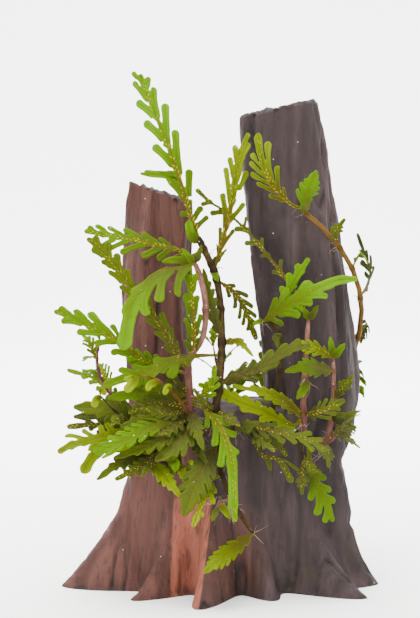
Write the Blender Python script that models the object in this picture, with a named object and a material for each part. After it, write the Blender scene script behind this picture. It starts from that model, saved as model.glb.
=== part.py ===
"""Hygrophila with lobed leaves, growing on a forked piece of driftwood.

The wood is a stump cut flat underneath, with two upright limbs. The plant clings to it with creeping stems, from which
upright stems rise, and each leaf is a thin blade with finger-like lobes on both sides of its midrib.

Lengths are millimetres here and become metres when an object is made. X runs right, Y away from a viewer in front of
the plant, and Z up. The origin is on the ground, under the middle of the wood.
"""

import math
from collections import namedtuple

import bmesh
import bpy
from mathutils import Vector, noise

MM = 0.001

# Where a viewer in front stands
SIGHT_DISTANCE = 900.0
SIGHT_HEIGHT = 168.6
SIGHT_TILT = math.radians(5.0)

# Driftwood
STUMP_MIDDLE = Vector((16.0, 8.0, 0.0))
STUMP_SIDES = 32
LIMB_SIDES = 14
STUMP_GNARL = 0.12
LIMB_GNARL = 0.17
FORK_HEIGHT = 118.0
FORK_GAP = 0.3
GROUND_DEPTH = 30.0
WORLD_SPAN = 400.0

# Stems and leaves
GAP = 0.35
STALK_HALF_WIDTH = 0.8
MIDRIB_HALF_THICKNESS = 0.55
TIP_HALF_THICKNESS = 0.35
BLADE_FOLD = 0.16
BLADE_DROOP = 0.22
MIDRIB_SAMPLES = 48


def seen(across, up, depth):
    """The point that a viewer in front sees `across` right of the origin and `up` above the ground, both measured
    on the upright plane through the origin, when it lies `depth` behind that plane."""
    forward = Vector((0.0, math.cos(SIGHT_TILT), -math.sin(SIGHT_TILT)))
    upward = Vector((0.0, math.sin(SIGHT_TILT), math.cos(SIGHT_TILT)))
    middle = Vector((0.0, 0.0, SIGHT_HEIGHT))
    eye = middle - forward * SIGHT_DISTANCE
    on_plane = middle + Vector((across, 0.0, 0.0)) + upward * (up - SIGHT_HEIGHT)
    ray = on_plane - eye
    return eye + ray * ((depth - eye.y) / ray.y)


# Materials

Finish = namedtuple("Finish", "colour roughness")

FINISHES = {
    "driftwood": Finish((0.085, 0.042, 0.032), 0.62),
    "stem": Finish((0.130, 0.052, 0.028), 0.50),
    "leaf_bright": Finish((0.230, 0.410, 0.015), 0.42),
    "leaf_yellow": Finish((0.400, 0.460, 0.012), 0.42),
    "leaf_olive": Finish((0.130, 0.170, 0.025), 0.45),
}


def finish(name):
    material = bpy.data.materials.get(name)
    if material:
        return material
    material = bpy.data.materials.new(name)
    material.use_nodes = True
    shader = material.node_tree.nodes["Principled BSDF"]
    shader.inputs["Base Color"].default_value = (*FINISHES[name].colour, 1.0)
    shader.inputs["Roughness"].default_value = FINISHES[name].roughness
    shader.inputs["Metallic"].default_value = 0.0
    return material


def place(obj, origin, parent, finish_name):
    """Put an object at its origin, in millimetres, fixed to its parent. With no finish it is a helper that shapes
    others."""
    bpy.context.scene.collection.objects.link(obj)
    obj.location = origin * MM
    if parent:
        obj.parent = parent
        obj.location -= parent.matrix_world.translation
    if finish_name:
        obj.data.materials.append(finish(finish_name))
    else:
        obj.hide_render = True
        obj.display_type = "WIRE"
    bpy.context.view_layer.update()
    return obj


def add_mesh(name, points, faces, finish_name=None, origin=Vector(), parent=None):
    """A mesh object from points in millimetres, with its faces turned out and smooth except at its edges."""
    mesh = bpy.data.meshes.new(name)
    mesh.from_pydata([(Vector(p) - origin) * MM for p in points], [], faces)
    shape = bmesh.new()
    shape.from_mesh(mesh)
    bmesh.ops.recalc_face_normals(shape, faces=shape.faces)
    shape.to_mesh(mesh)
    shape.free()
    mesh.shade_smooth()
    mesh.set_sharp_from_angle(angle=math.radians(50))
    return place(bpy.data.objects.new(name, mesh), origin, parent, finish_name)


# Curves and lofts

def curve_through(points, samples):
    """Evenly spaced points on a smooth curve through the given ones, and its length."""
    knots = [points[0] * 2 - points[1], *points, points[-1] * 2 - points[-2]]
    dense = []
    for before, start, end, after in zip(knots, knots[1:], knots[2:], knots[3:]):
        for k in range(16):
            t = k / 16
            bend = (2 * before - 5 * start + 4 * end - after) * t**2
            turn = (3 * start - before - 3 * end + after) * t**3
            dense.append(0.5 * (2 * start + (end - before) * t + bend + turn))
    dense.append(points[-1].copy())
    lengths = [0.0]
    for a, b in zip(dense, dense[1:]):
        lengths.append(lengths[-1] + (b - a).length)
    even, at = [], 0
    for k in range(samples + 1):
        want = lengths[-1] * k / samples
        while at < len(dense) - 2 and lengths[at + 1] < want:
            at += 1
        span = max(lengths[at + 1] - lengths[at], 1e-9)
        even.append(dense[at].lerp(dense[at + 1], min(1.0, (want - lengths[at]) / span)))
    return even, lengths[-1]


def between(values, share):
    """The value at `share`, from 0 to 1, along evenly spaced ones."""
    at = max(0.0, min(share, 1.0)) * (len(values) - 1)
    i = min(int(at), len(values) - 2)
    return values[i] * (1 - (at - i)) + values[i + 1] * (at - i)


def loft(rings):
    """Points and faces of the closed skin over a stack of rings, each with the same number of points."""
    sides = len(rings[0])
    points = [p for ring in rings for p in ring]
    faces = []
    for low in range(0, len(points) - sides, sides):
        for k in range(sides):
            j = (k + 1) % sides
            faces.append((low + k, low + j, low + sides + j, low + sides + k))
    faces.append(tuple(range(sides))[::-1])
    faces.append(tuple(range(len(points) - sides, len(points))))
    return points, faces


# Driftwood

Limb = namedtuple("Limb", "path widths depths rings top_slope seed")

# Centre line, half widths and half depths along it, and the slope of the broken top towards the right
LIMBS = {
    "left_limb": Limb(
        [(-14, 8, 62), (-29, 10, 104), (-33, 12, 160), (-31, 12, 210), (-29, 12, 240)],
        [16, 22, 21.5, 21, 20], [12, 18, 18, 17, 16], 9, -0.25, 11.0,
    ),
    "right_limb": Limb(
        [(48, 8, 62), (62, 11, 104), (60, 14, 150), (52, 15, 210), (41, 14, 290)],
        [24, 29, 28, 27, 24], [14, 23, 25, 24, 21], 11, 0.10, 23.0,
    ),
}

Root = namedtuple("Root", "heading reach width rise")

# Heading round from the right, reach from the stump's middle, half width, all in degrees and millimetres, and how
# high up the stump the root begins
ROOTS = [
    Root(186, 104, 13, 84),
    Root(215, 74, 10, 56),
    Root(249, 64, 14, 116),
    Root(298, 52, 13, 58),
    Root(333, 82, 10, 56),
    Root(357, 94, 11, 86),
    Root(50, 72, 13, 76),
    Root(98, 52, 13, 60),
    Root(146, 76, 12, 68),
]

# Heights of the stump's rings, and the half width and half depth of its body at each
STUMP_RINGS = [
    (-GROUND_DEPTH, 56, 28), (0, 56, 28), (14, 57, 28), (30, 58, 28), (48, 60, 28), (66, 62, 27),
    (84, 63, 26), (100, 62, 24), (109, 52, 19), (114, 34, 11),
]


def gnarl(angle, height, seed, amount):
    """How far a ridge or hollow of the wood changes its radius, as a share."""
    spot = Vector((1.7 * math.cos(angle), 1.7 * math.sin(angle) + seed, height / 110.0))
    return 1 + amount * (noise.noise(spot) + 0.5 * noise.noise(spot * 2.3))


def stump_radius(angle, height, wide, deep):
    """The body's ellipse with a ridge for each root, which runs further out the nearer it is to the ground."""
    reach = wide * deep / math.hypot(deep * math.cos(angle), wide * math.sin(angle))
    body = reach
    for root in ROOTS:
        off = (math.degrees(angle) - root.heading + 180) % 360 - 180
        low = max(0.0, 1 - max(height, 0) / root.rise)
        ridge = math.exp(-((off / root.width) ** 2)) * low**1.8
        reach += max(0.0, root.reach - body) * ridge
    return reach * gnarl(angle, height, 3.0, STUMP_GNARL)


def build_stump():
    rings = []
    for height, wide, deep in STUMP_RINGS:
        ring = []
        for k in range(STUMP_SIDES):
            angle = 2 * math.pi * k / STUMP_SIDES
            reach = stump_radius(angle, height, wide, deep)
            ring.append(Vector((reach * math.cos(angle), reach * math.sin(angle), height)) + STUMP_MIDDLE)
        rings.append(ring)
    return add_mesh("driftwood_stump", *loft(rings), "driftwood")


def limb_skin(name):
    """Points and faces of a limb: elliptical rings square to its centre line, the last one tilted."""
    limb = LIMBS[name]
    path, length = curve_through([Vector(p) for p in limb.path], limb.rings)
    rings = []
    for i, centre in enumerate(path):
        share = i / limb.rings
        wide, deep = between(limb.widths, share), between(limb.depths, share)
        ahead = (path[min(i + 1, limb.rings)] - path[max(i - 1, 0)]).normalized()
        back = Vector((0.0, 1.0, 0.0))
        back = (back - ahead * back.dot(ahead)).normalized()
        right = back.cross(ahead)
        ring = []
        for k in range(LIMB_SIDES):
            angle = 2 * math.pi * k / LIMB_SIDES
            swell = gnarl(angle, share * length, limb.seed, LIMB_GNARL)
            ring.append(centre + (right * wide * math.cos(angle) + back * deep * math.sin(angle)) * swell)
        rings.append(ring)
    for p in rings[-1]:
        p.z += limb.top_slope * (p.x - path[-1].x)
    return loft(rings)


def block(name, low, high):
    """A box-shaped helper."""
    corners = [(x, y, z) for z in (low[2], high[2]) for y in (low[1], high[1]) for x in (low[0], high[0])]
    sides = [(0, 2, 3, 1), (4, 5, 7, 6), (0, 1, 5, 4), (2, 6, 7, 3), (0, 4, 6, 2), (1, 3, 7, 5)]
    return add_mesh(name, corners, sides)


def combine(obj, other, operation):
    step = obj.modifiers.new(f"{operation.lower()}_{other.name}", "BOOLEAN")
    step.operation = operation
    step.object = other
    step.solver = "EXACT"


def build_driftwood():
    """The stump with its roots, and a limb on each side of the fork, each parted from it by a thin joint."""
    span = WORLD_SPAN
    below_ground = block("below_ground", (-span, -span, -span), (span, span, 0.0))
    above_fork = block("above_fork", (-span, -span, FORK_HEIGHT), (span, span, span))
    below_fork = block("below_fork", (-span, -span, -span), (span, span, FORK_HEIGHT + FORK_GAP))
    stump = build_stump()
    for name in LIMBS:
        combine(stump, add_mesh(f"{name}_foot", *limb_skin(name)), "UNION")
    combine(stump, below_ground, "DIFFERENCE")
    combine(stump, above_fork, "DIFFERENCE")
    for name in LIMBS:
        limb = add_mesh(f"driftwood_{name}", *limb_skin(name), "driftwood", parent=stump)
        combine(limb, below_fork, "DIFFERENCE")
    return stump


# Stems

Stem = namedtuple("Stem", "route foot_radius head_radius")

# Each stem's route as seen from the front: across, up and depth
STEMS = {
    "main_stem": Stem(
        [(2, 102, -34), (4, 113, -36), (6, 127, -32), (7, 144, -25), (7, 158, -20), (6, 174, -16),
         (4, 186, -13), (1, 195, -12), (-4, 205, -12), (-7, 212, -12)],
        2.4, 1.9,
    ),
    "left_stem": Stem(
        [(-12, 100, -31), (-12, 114, -33), (-13, 129, -32), (-12, 139, -31), (-6, 148, -29),
         (-3, 158, -28), (-3, 174, -27), (-6, 188, -25), (-9, 196, -24)],
        2.0, 1.8,
    ),
    "right_stem": Stem(
        [(56, 104, -22), (56, 116, -24), (57, 129, -24), (58, 147, -23), (59, 162, -22)],
        1.9, 1.3,
    ),
    "inner_right_stem": Stem(
        [(37, 106, -22), (40, 120, -21), (42, 135, -20), (43, 150, -19), (38, 159, -17), (32, 162, -16)],
        1.6, 1.2,
    ),
    "outer_right_stem": Stem(
        [(71, 92, -20), (73, 104, -19), (74, 120, -18), (74, 139, -18)],
        1.6, 1.2,
    ),
    "cross_runner": Stem(
        [(-38, 80, -30), (-22, 87, -31), (-8, 93, -31), (10, 97, -29), (28, 98, -24), (48, 96, -21), (66, 87, -20)],
        1.5, 1.8,
    ),
    "front_runner": Stem(
        [(4, 90, -32), (6, 72, -36), (14, 52, -36), (26, 34, -40)],
        1.8, 1.3,
    ),
    "limb_runner": Stem(
        [(62, 102, 46), (84, 138, 34), (91, 168, 14), (84, 196, -7), (67, 218, -17), (54, 229, -20)],
        1.9, 1.3,
    ),
    "back_runner": Stem(
        [(66, 92, 44), (42, 94, 42), (14, 86, 41), (-14, 93, 38), (-38, 99, 34), (-54, 112, 28)],
        1.9, 1.4,
    ),
}


def stem_route(name):
    stem = STEMS[name]
    return curve_through([seen(*p) for p in stem.route], 2 * len(stem.route) - 2)[0]


def build_stem(name, parent):
    """A round stem that tapers along its route."""
    stem, route = STEMS[name], stem_route(name)
    origin = route[0]
    curve = bpy.data.curves.new(name, "CURVE")
    curve.dimensions = "3D"
    curve.bevel_depth = 1.0
    curve.bevel_resolution = 1
    curve.use_fill_caps = True
    spline = curve.splines.new("POLY")
    spline.points.add(len(route) - 1)
    spline.use_smooth = True
    for i, point in enumerate(route):
        spline.points[i].co = (*((point - origin) * MM), 1.0)
        spline.points[i].radius = between((stem.foot_radius, stem.head_radius), i / (len(route) - 1)) * MM
    return place(bpy.data.objects.new(name, curve), origin, parent, "stem")


# Leaves

Form = namedtuple("Form", "cut lean fill stalk end slotted")

# cut: share of the half width that the gaps between lobes reach in from the edge
# lean: a lobe's angle to the midrib; fill: a lobe's width as a share of the spacing
# stalk: share of the length with no blade; end: the end lobe's length in spacings
# slotted: whether the gaps have a floor, or come to a point
FORMS = {
    "fingered": Form(0.64, math.radians(34), 0.74, 0.12, 1.3, True),
    "toothed": Form(0.48, math.radians(35), 0.88, 0.10, 1.2, False),
}

Leaf = namedtuple("Leaf", "foot middle tip half_width pairs form face turn finish")

# foot: share of the way up the stem where the leaf springs from it
# middle and tip: where the midrib passes and ends, as seen from the front
# face and turn: how far its upper side faces up, and round from the viewer towards the right, in degrees
LEAVES = {
    "main_stem": [
        Leaf(1.00, (-23, 258, -17), (-44, 314, -10), 9.5, 6, "fingered", 12, -8, "leaf_bright"),
        Leaf(0.93, (-36, 209, -24), (-77, 215, -26), 10.0, 5, "fingered", 25, -10, "leaf_bright"),
        Leaf(0.80, (12, 231, -14), (24, 275, -8), 8.0, 5, "fingered", 10, 8, "leaf_yellow"),
        Leaf(0.76, (18, 174, -8), (28, 150, -4), 7.0, 5, "fingered", 10, 20, "leaf_olive"),
        Leaf(0.43, (1, 169, -22), (-4, 193, -19), 5.0, 5, "toothed", 5, 0, "leaf_olive"),
        Leaf(0.41, (17, 149, -24), (26, 140, -32), 3.5, 3, "toothed", 30, 10, "leaf_yellow"),
        Leaf(0.35, (-27, 135, -47), (-64, 122, -54), 9.5, 5, "fingered", 30, 0, "leaf_bright"),
        Leaf(0.19, (24, 131, -32), (42, 137, -38), 7.0, 4, "fingered", 10, 10, "leaf_olive"),
        Leaf(0.16, (31, 137, -40), (62, 148, -50), 7.5, 6, "fingered", 25, 10, "leaf_olive"),
    ],
    "left_stem": [
        Leaf(1.00, (-39, 183, -40), (-54, 144, -54), 13.0, 4, "fingered", 45, -20, "leaf_bright"),
        Leaf(0.42, (-39, 173, -30), (-73, 210, -34), 8.0, 7, "fingered", 20, -15, "leaf_olive"),
        Leaf(0.41, (-11, 165, -34), (-13, 193, -24), 6.0, 4, "fingered", 0, 0, "leaf_bright"),
        Leaf(0.33, (-53, 145, -40), (-95, 167, -42), 8.5, 7, "fingered", 25, -15, "leaf_bright"),
        Leaf(0.17, (-36, 119, -40), (-61, 115, -46), 8.0, 4, "fingered", 20, -10, "leaf_bright"),
        Leaf(0.13, (0, 121, -44), (3, 135, -50), 5.5, 4, "fingered", 20, 0, "leaf_bright"),
        Leaf(0.12, (9, 83, -57), (16, 40, -66), 10.0, 4, "fingered", 20, 5, "leaf_bright"),
        Leaf(0.16, (-50, 97, -46), (-91, 86, -56), 8.6, 7, "toothed", 30, -10, "leaf_yellow"),
        Leaf(0.04, (-42, 91, -67), (-69, 81, -77), 8.2, 8, "toothed", 35, 0, "leaf_bright"),
        Leaf(0.02, (-18, 89, -52), (-33, 77, -62), 9.0, 4, "toothed", 30, 0, "leaf_olive"),
    ],
    "right_stem": [
        Leaf(1.00, (26, 213, -11), (-10, 241, -9), 6.5, 7, "fingered", 10, 0, "leaf_olive"),
        Leaf(0.08, (39, 117, -42), (12, 124, -50), 5.5, 7, "toothed", 25, 0, "leaf_yellow"),
        Leaf(0.03, (24, 112, -27), (-8, 124, -24), 8.5, 8, "toothed", 25, 0, "leaf_yellow"),
        Leaf(0.02, (66, 107, -34), (81, 114, -38), 7.0, 4, "fingered", 20, 15, "leaf_olive"),
    ],
    "inner_right_stem": [
        Leaf(1.00, (57, 175, -38), (89, 187, -40), 11.0, 5, "fingered", 20, 15, "leaf_bright"),
        Leaf(0.90, (43, 181, -21), (58, 200, -26), 6.5, 4, "fingered", 10, 10, "leaf_bright"),
    ],
    "outer_right_stem": [
        Leaf(1.00, (63, 145, -26), (49, 148, -28), 5.5, 4, "fingered", 20, 10, "leaf_yellow"),
        Leaf(0.84, (59, 134, -38), (45, 131, -46), 6.5, 4, "fingered", 20, 10, "leaf_bright"),
    ],
    "cross_runner": [
        Leaf(0.00, (-26, 67, -52), (-17, 55, -56), 5.5, 5, "toothed", 20, 0, "leaf_yellow"),
        Leaf(0.04, (-62, 84, -42), (-77, 70, -50), 7.5, 6, "toothed", 30, -10, "leaf_yellow"),
        Leaf(0.10, (-55, 106, -40), (-82, 110, -42), 10.0, 5, "fingered", 20, -10, "leaf_olive"),
        Leaf(0.52, (44, 97, -48), (72, 84, -60), 8.5, 7, "toothed", 30, 10, "leaf_olive"),
        Leaf(0.54, (29, 92, -40), (39, 83, -50), 6.0, 4, "fingered", 20, 10, "leaf_olive"),
        Leaf(0.58, (37, 78, -38), (51, 63, -46), 8.0, 4, "fingered", 20, 10, "leaf_olive"),
        Leaf(0.92, (62, 67, -42), (74, 40, -52), 8.5, 5, "fingered", 15, 15, "leaf_bright"),
    ],
    "front_runner": [
        Leaf(0.05, (-6, 70, -54), (-16, 44, -62), 10.5, 5, "fingered", 20, -5, "leaf_olive"),
        Leaf(0.35, (-1, 54, -56), (-11, 37, -62), 6.0, 5, "toothed", 20, 0, "leaf_yellow"),
        Leaf(1.00, (9, 21, -56), (-4, 10, -60), 6.5, 6, "toothed", 30, 0, "leaf_yellow"),
    ],
    "limb_runner": [
        Leaf(1.00, (36, 246, -27), (28, 272, -25), 9.5, 5, "fingered", 15, 0, "leaf_yellow"),
        Leaf(0.97, (58, 237, -30), (64, 252, -34), 7.5, 4, "fingered", 10, 20, "leaf_bright"),
        Leaf(0.56, (96, 190, 26), (88, 214, 36), 8.0, 4, "fingered", 20, 120, "leaf_olive"),
        Leaf(0.12, (74, 136, 60), (66, 174, 60), 9.0, 6, "fingered", 20, 165, "leaf_bright"),
    ],
    "back_runner": [
        Leaf(0.06, (58, 66, 68), (66, 38, 86), 9.0, 5, "fingered", 30, 165, "leaf_bright"),
        Leaf(0.24, (36, 126, 58), (32, 162, 52), 8.0, 6, "toothed", 15, 180, "leaf_yellow"),
        Leaf(0.40, (24, 66, 70), (12, 32, 82), 9.5, 6, "fingered", 25, 185, "leaf_olive"),
        Leaf(0.54, (0, 96, 68), (-8, 86, 96), 9.0, 5, "fingered", 65, 180, "leaf_bright"),
        Leaf(0.70, (-28, 66, 60), (-44, 40, 72), 8.0, 5, "toothed", 25, 195, "leaf_bright"),
        Leaf(0.84, (-40, 132, 52), (-32, 174, 50), 9.0, 6, "fingered", 15, 190, "leaf_olive"),
        Leaf(0.97, (-68, 126, 40), (-86, 132, 50), 7.0, 4, "fingered", 25, 205, "leaf_bright"),
    ],
}


def lobe_reach(leaf, rank):
    """How far lobe number `rank` reaches sideways: small at the foot, widest near the middle, less at the tip."""
    t = (rank + 0.6) / leaf.pairs
    small, span = (0.42, 0.45) if t < 0.45 else (0.52, 0.55)
    return leaf.half_width * (1 - (1 - small) * ((t - 0.45) / span) ** 2)


def blade_plan(leaf, length):
    """The blade laid flat. Gives where the lobes spring from the midrib, and each side's edge from foot to tip, as
    (number of the midrib point that it hangs from, along, across)."""
    form = FORMS[leaf.form]
    start = form.stalk * length
    spacing = (length - start) / (leaf.pairs + form.end)
    springs = [start + (i + 0.3) * spacing for i in range(leaf.pairs)]
    half = 0.5 * form.fill * spacing * math.sin(form.lean)
    edges = {}
    for side in (-1, 1):
        edge = []
        for i, spring in enumerate(springs):
            reach = lobe_reach(leaf, i)
            run = reach / math.sin(form.lean)
            root = run * (1 - form.cut)
            corners = [(root, -0.9 * half), (run - 0.3 * half, -0.62 * half), (run - 0.2 * half, 0.62 * half)]
            if form.slotted:
                corners.append((root + 0.4 * half, 0.9 * half))
            for out, off in corners:
                along = spring + 0.1 * side * spacing + out * math.cos(form.lean) + off * math.sin(form.lean)
                edge.append((i, along, out * math.sin(form.lean) - off * math.cos(form.lean)))
        edge.append((leaf.pairs, length - 0.85 * spacing, 0.30 * leaf.half_width))
        edge.append((leaf.pairs, length - 0.30 * spacing, 0.24 * leaf.half_width))
        edges[side] = edge
    return start, springs, length - 0.6 * spacing, edges


def midrib(leaf, foot):
    """The midrib's points, each with the directions ahead and across and the upper side's normal."""
    path, length = curve_through([foot, seen(*leaf.middle), seen(*leaf.tip)], MIDRIB_SAMPLES)
    face, turn = math.radians(leaf.face), math.radians(leaf.turn)
    outward = Vector((math.sin(turn) * math.cos(face), -math.cos(turn) * math.cos(face), math.sin(face)))
    frames = []
    last = len(path) - 1
    for i, point in enumerate(path):
        ahead = (path[min(i + 1, last)] - path[max(i - 1, 0)]).normalized()
        normal = (outward - ahead * outward.dot(ahead)).normalized()
        frames.append((point, ahead, ahead.cross(normal), normal))
    return frames, length


def on_blade(frames, length, leaf, along, across, lift=0.0):
    """A point of the blade, `along` the midrib and `across` it, raised by `lift` from its surface."""
    point, ahead, side, normal = (between([f[k] for f in frames], along / length) for k in range(4))
    bow = BLADE_FOLD * abs(across) - BLADE_DROOP * across**2 / leaf.half_width
    return point + ahead * max(0.0, along - length) + side * across + normal * (bow + lift)


def clear_of(route, radius, frames, length):
    """How far along the midrib the stalk leaves the stem's surface."""
    along = 0.0
    while along < 0.5 * length:
        point = between([f[0] for f in frames], along / length)
        off = min(distance_to_segment(point, a, b) for a, b in zip(route, route[1:]))
        if off > radius + STALK_HALF_WIDTH + GAP:
            break
        along += 0.25
    return along


def distance_to_segment(point, a, b):
    share = max(0.0, min(1.0, (point - a).dot(b - a) / (b - a).length_squared))
    return (point - a.lerp(b, share)).length


def build_leaf(name, leaf, stem_name, parent):
    """A blade that is thickest at its midrib and sharp at its edge, on a stalk that begins just clear of its stem."""
    route, stem = stem_route(stem_name), STEMS[stem_name]
    foot = between(route, leaf.foot)
    radius = between((stem.foot_radius, stem.head_radius), leaf.foot)
    frames, length = midrib(leaf, foot)
    clear = clear_of(route, radius, frames, length)
    start, springs, end, edges = blade_plan(leaf, length)
    ribs = [*springs, end]
    points, faces = [], []

    def add(along, across, lift=0.0):
        points.append(on_blade(frames, length, leaf, along, across, lift))
        return len(points) - 1

    foot_half, thin = MIDRIB_HALF_THICKNESS, TIP_HALF_THICKNESS
    foot_top, foot_under = add(clear, 0.0, foot_half), add(clear, 0.0, -foot_half)
    tops = [add(along, 0.0, between((foot_half, thin), along / length)) for along in ribs]
    unders = [add(along, 0.0, -between((foot_half, thin), along / length)) for along in ribs]
    tip = add(length, 0.0)
    for side in (-1, 1):
        foot_edge = add(clear, side * STALK_HALF_WIDTH)
        rim = [(0, foot_edge), (0, add(max(start, clear + 1.0), side * STALK_HALF_WIDTH))]
        rim += [(rib, add(along, side * across)) for rib, along, across in edges[side]]
        rim.append((leaf.pairs, tip))
        for sheet, foot_point in ((tops, foot_top), (unders, foot_under)):
            faces.append((foot_point, foot_edge, sheet[0]))
            for (rib, a), (next_rib, b) in zip(rim, rim[1:]):
                faces.append((sheet[rib], a, b))
                if next_rib != rib:
                    faces.append((sheet[rib], b, sheet[next_rib]))
        faces.append((foot_top, foot_under, foot_edge))
    add_mesh(name, points, faces, leaf.finish, foot, parent)


def clear_scene():
    for obj in list(bpy.data.objects):
        bpy.data.objects.remove(obj)


def main():
    clear_scene()
    stump = build_driftwood()
    for stem_name in STEMS:
        stem = build_stem(stem_name, stump)
        for number, leaf in enumerate(LEAVES[stem_name], 1):
            build_leaf(f"{stem_name}_leaf_{number}", leaf, stem_name, stem)


main()
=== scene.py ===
"""The looks of a hygrophila with lobed leaves, growing on a forked piece of driftwood.

Lengths are millimetres here and become metres when a mesh is made. X runs right, Y away from a viewer in
front of the plant, and Z up, as in the solids. The driftwood is one gnarled skin with grain, cracks and
pits. Every stem is a tube with swollen joints, and every leaf a thin blade with round lobes, a raised
midrib and sunken side veins.
"""

import math
from collections import namedtuple

import bmesh
import bpy
import numpy as np
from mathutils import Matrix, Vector, noise


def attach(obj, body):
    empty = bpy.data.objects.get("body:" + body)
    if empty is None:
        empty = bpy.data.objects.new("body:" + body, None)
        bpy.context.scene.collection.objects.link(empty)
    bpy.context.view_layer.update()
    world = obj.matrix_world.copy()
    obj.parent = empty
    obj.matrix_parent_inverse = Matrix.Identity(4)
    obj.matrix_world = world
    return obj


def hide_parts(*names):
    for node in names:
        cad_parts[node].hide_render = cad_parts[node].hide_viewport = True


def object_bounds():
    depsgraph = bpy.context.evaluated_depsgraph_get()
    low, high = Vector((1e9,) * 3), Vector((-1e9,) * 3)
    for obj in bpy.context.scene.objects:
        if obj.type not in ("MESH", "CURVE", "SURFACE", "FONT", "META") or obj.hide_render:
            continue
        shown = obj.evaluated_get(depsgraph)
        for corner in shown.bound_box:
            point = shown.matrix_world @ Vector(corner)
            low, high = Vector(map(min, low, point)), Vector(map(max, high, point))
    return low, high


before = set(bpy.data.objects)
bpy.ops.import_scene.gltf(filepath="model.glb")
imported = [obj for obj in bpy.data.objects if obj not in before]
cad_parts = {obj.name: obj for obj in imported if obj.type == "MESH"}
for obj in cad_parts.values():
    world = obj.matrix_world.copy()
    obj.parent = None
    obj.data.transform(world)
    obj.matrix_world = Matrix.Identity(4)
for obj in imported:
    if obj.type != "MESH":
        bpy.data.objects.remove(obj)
CAD_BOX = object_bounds()

MM = 0.001

# The photograph's frame and where its camera stood
FRAME_ROWS = 618
MIDDLE_COLUMN = 210
GROUND_ROW = 590
ROW_HEIGHT = 0.6
SIGHT_DISTANCE = 900.0
SIGHT_HEIGHT = 168.6
SIGHT_TILT = math.radians(5.0)
FORWARD = Vector((0.0, math.cos(SIGHT_TILT), -math.sin(SIGHT_TILT)))
UPWARD = Vector((0.0, math.sin(SIGHT_TILT), math.cos(SIGHT_TILT)))
SIGHT_MIDDLE = Vector((0.0, 0.0, SIGHT_HEIGHT))
EYE = SIGHT_MIDDLE - FORWARD * SIGHT_DISTANCE


def seen(across, up, depth):
    """The point that a viewer in front sees `across` right of the origin and `up` above the ground, both
    measured on the upright plane through the origin, when it lies `depth` behind that plane."""
    on_plane = SIGHT_MIDDLE + Vector((across, 0.0, 0.0)) + UPWARD * (up - SIGHT_HEIGHT)
    ray = on_plane - EYE
    return EYE + ray * ((depth - EYE.y) / ray.y)


def seen_place(point):
    """How far across and up a viewer in front sees a point, the reverse of `seen`."""
    ray = point - EYE
    on_plane = EYE + ray * (SIGHT_DISTANCE / ray.dot(FORWARD))
    return np.array([on_plane.x, SIGHT_HEIGHT + (on_plane - SIGHT_MIDDLE).dot(UPWARD)])


def spot(column, row):
    """How far across and up a place of the photograph lies."""
    return np.array([column - MIDDLE_COLUMN, GROUND_ROW - row]) * ROW_HEIGHT


# Shader maths

class Value:
    """A socket in a material's nodes. A sum or product of values adds the Math nodes that work it out."""

    def __init__(self, tree, socket):
        self.tree = tree
        self.socket = socket

    def node(self, kind, settings=(), sockets=(), output=0):
        """Add a node: first its settings, then its sockets, by name, each a number, a colour or a value."""
        return add_node(self.tree, kind, settings, sockets, output)

    def math(self, operation, *others, swap=False):
        values = (*others, self) if swap else (self, *others)
        return self.node("ShaderNodeMath", {"operation": operation}, dict(enumerate(values)))

    def __add__(self, other):
        return self.math("ADD", other)

    def __sub__(self, other):
        return self.math("SUBTRACT", other)

    def __mul__(self, other):
        return self.math("MULTIPLY", other)

    def __rsub__(self, other):
        return self.math("SUBTRACT", other, swap=True)

    __radd__ = __add__
    __rmul__ = __mul__

    def __abs__(self):
        return self.math("ABSOLUTE")

    def fraction(self):
        return self.math("FRACT")

    def rise(self, low, high):
        """0 up to `low`, 1 from `high` on, with a smooth step between."""
        sockets = {"Value": self, "From Min": low, "From Max": high}
        return self.node("ShaderNodeMapRange", {"interpolation_type": "SMOOTHSTEP"}, sockets)

    def fall(self, low, high):
        return 1 - self.rise(low, high)

    def ramp(self, *stops):
        """The colour for this value among the stops, each (place, colour)."""
        return self.node("ShaderNodeValToRGB", {"stops": stops}, {"Fac": self})

    def mix(self, first, second):
        """The first colour where this value is 0, and the second where it is 1."""
        settings = {"data_type": "RGBA", "clamp_factor": True}
        sockets = {"Factor_Float": self, "A_Color": first, "B_Color": second}
        return self.node("ShaderNodeMix", settings, sockets, "Result_Color")

    def times(self, scale):
        """A vector scaled along each axis."""
        return self.node("ShaderNodeVectorMath", {"operation": "MULTIPLY"}, {0: self, 1: scale})

    def parts(self):
        return [self.node("ShaderNodeSeparateXYZ", {}, {"Vector": self}, k) for k in range(3)]

    def noise(self, scale, detail=2.0, distortion=0.0):
        sockets = {"Vector": self, "Scale": scale, "Detail": detail, "Distortion": distortion}
        return self.node("ShaderNodeTexNoise", {}, sockets)

    def cells(self, scale, feature="F1", output="Distance"):
        sockets = {"Vector": self, "Scale": scale}
        return self.node("ShaderNodeTexVoronoi", {"feature": feature}, sockets, output)

    def specks(self, scale, size, share):
        """1 on small dots, in the given share of the cells of a net."""
        chosen = self.cells(scale, output="Color").parts()[0].rise(1 - share, 1 - share + 0.01)
        return chosen * self.cells(scale).fall(0.5 * size, size)


def add_node(tree, kind, settings=(), sockets=(), output=0):
    node = tree.nodes.new(kind)
    for name, value in dict(settings).items():
        if name == "stops":
            set_stops(node.color_ramp, value)
        else:
            setattr(node, name, value)
    for name, value in dict(sockets).items():
        put(tree, find_socket(node.inputs, name), value)
    return Value(tree, find_socket(node.outputs, output))


def find_socket(sockets, name):
    if isinstance(name, int):
        return sockets[name]
    return next((s for s in sockets if s.identifier == name), None) or sockets[name]


def put(tree, socket, value):
    """Set a socket to a number or a colour, or link a value to it."""
    if isinstance(value, Value):
        tree.links.new(value.socket, socket)
    elif socket.type == "RGBA":
        socket.default_value = (*value, 1.0)
    else:
        socket.default_value = value


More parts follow.
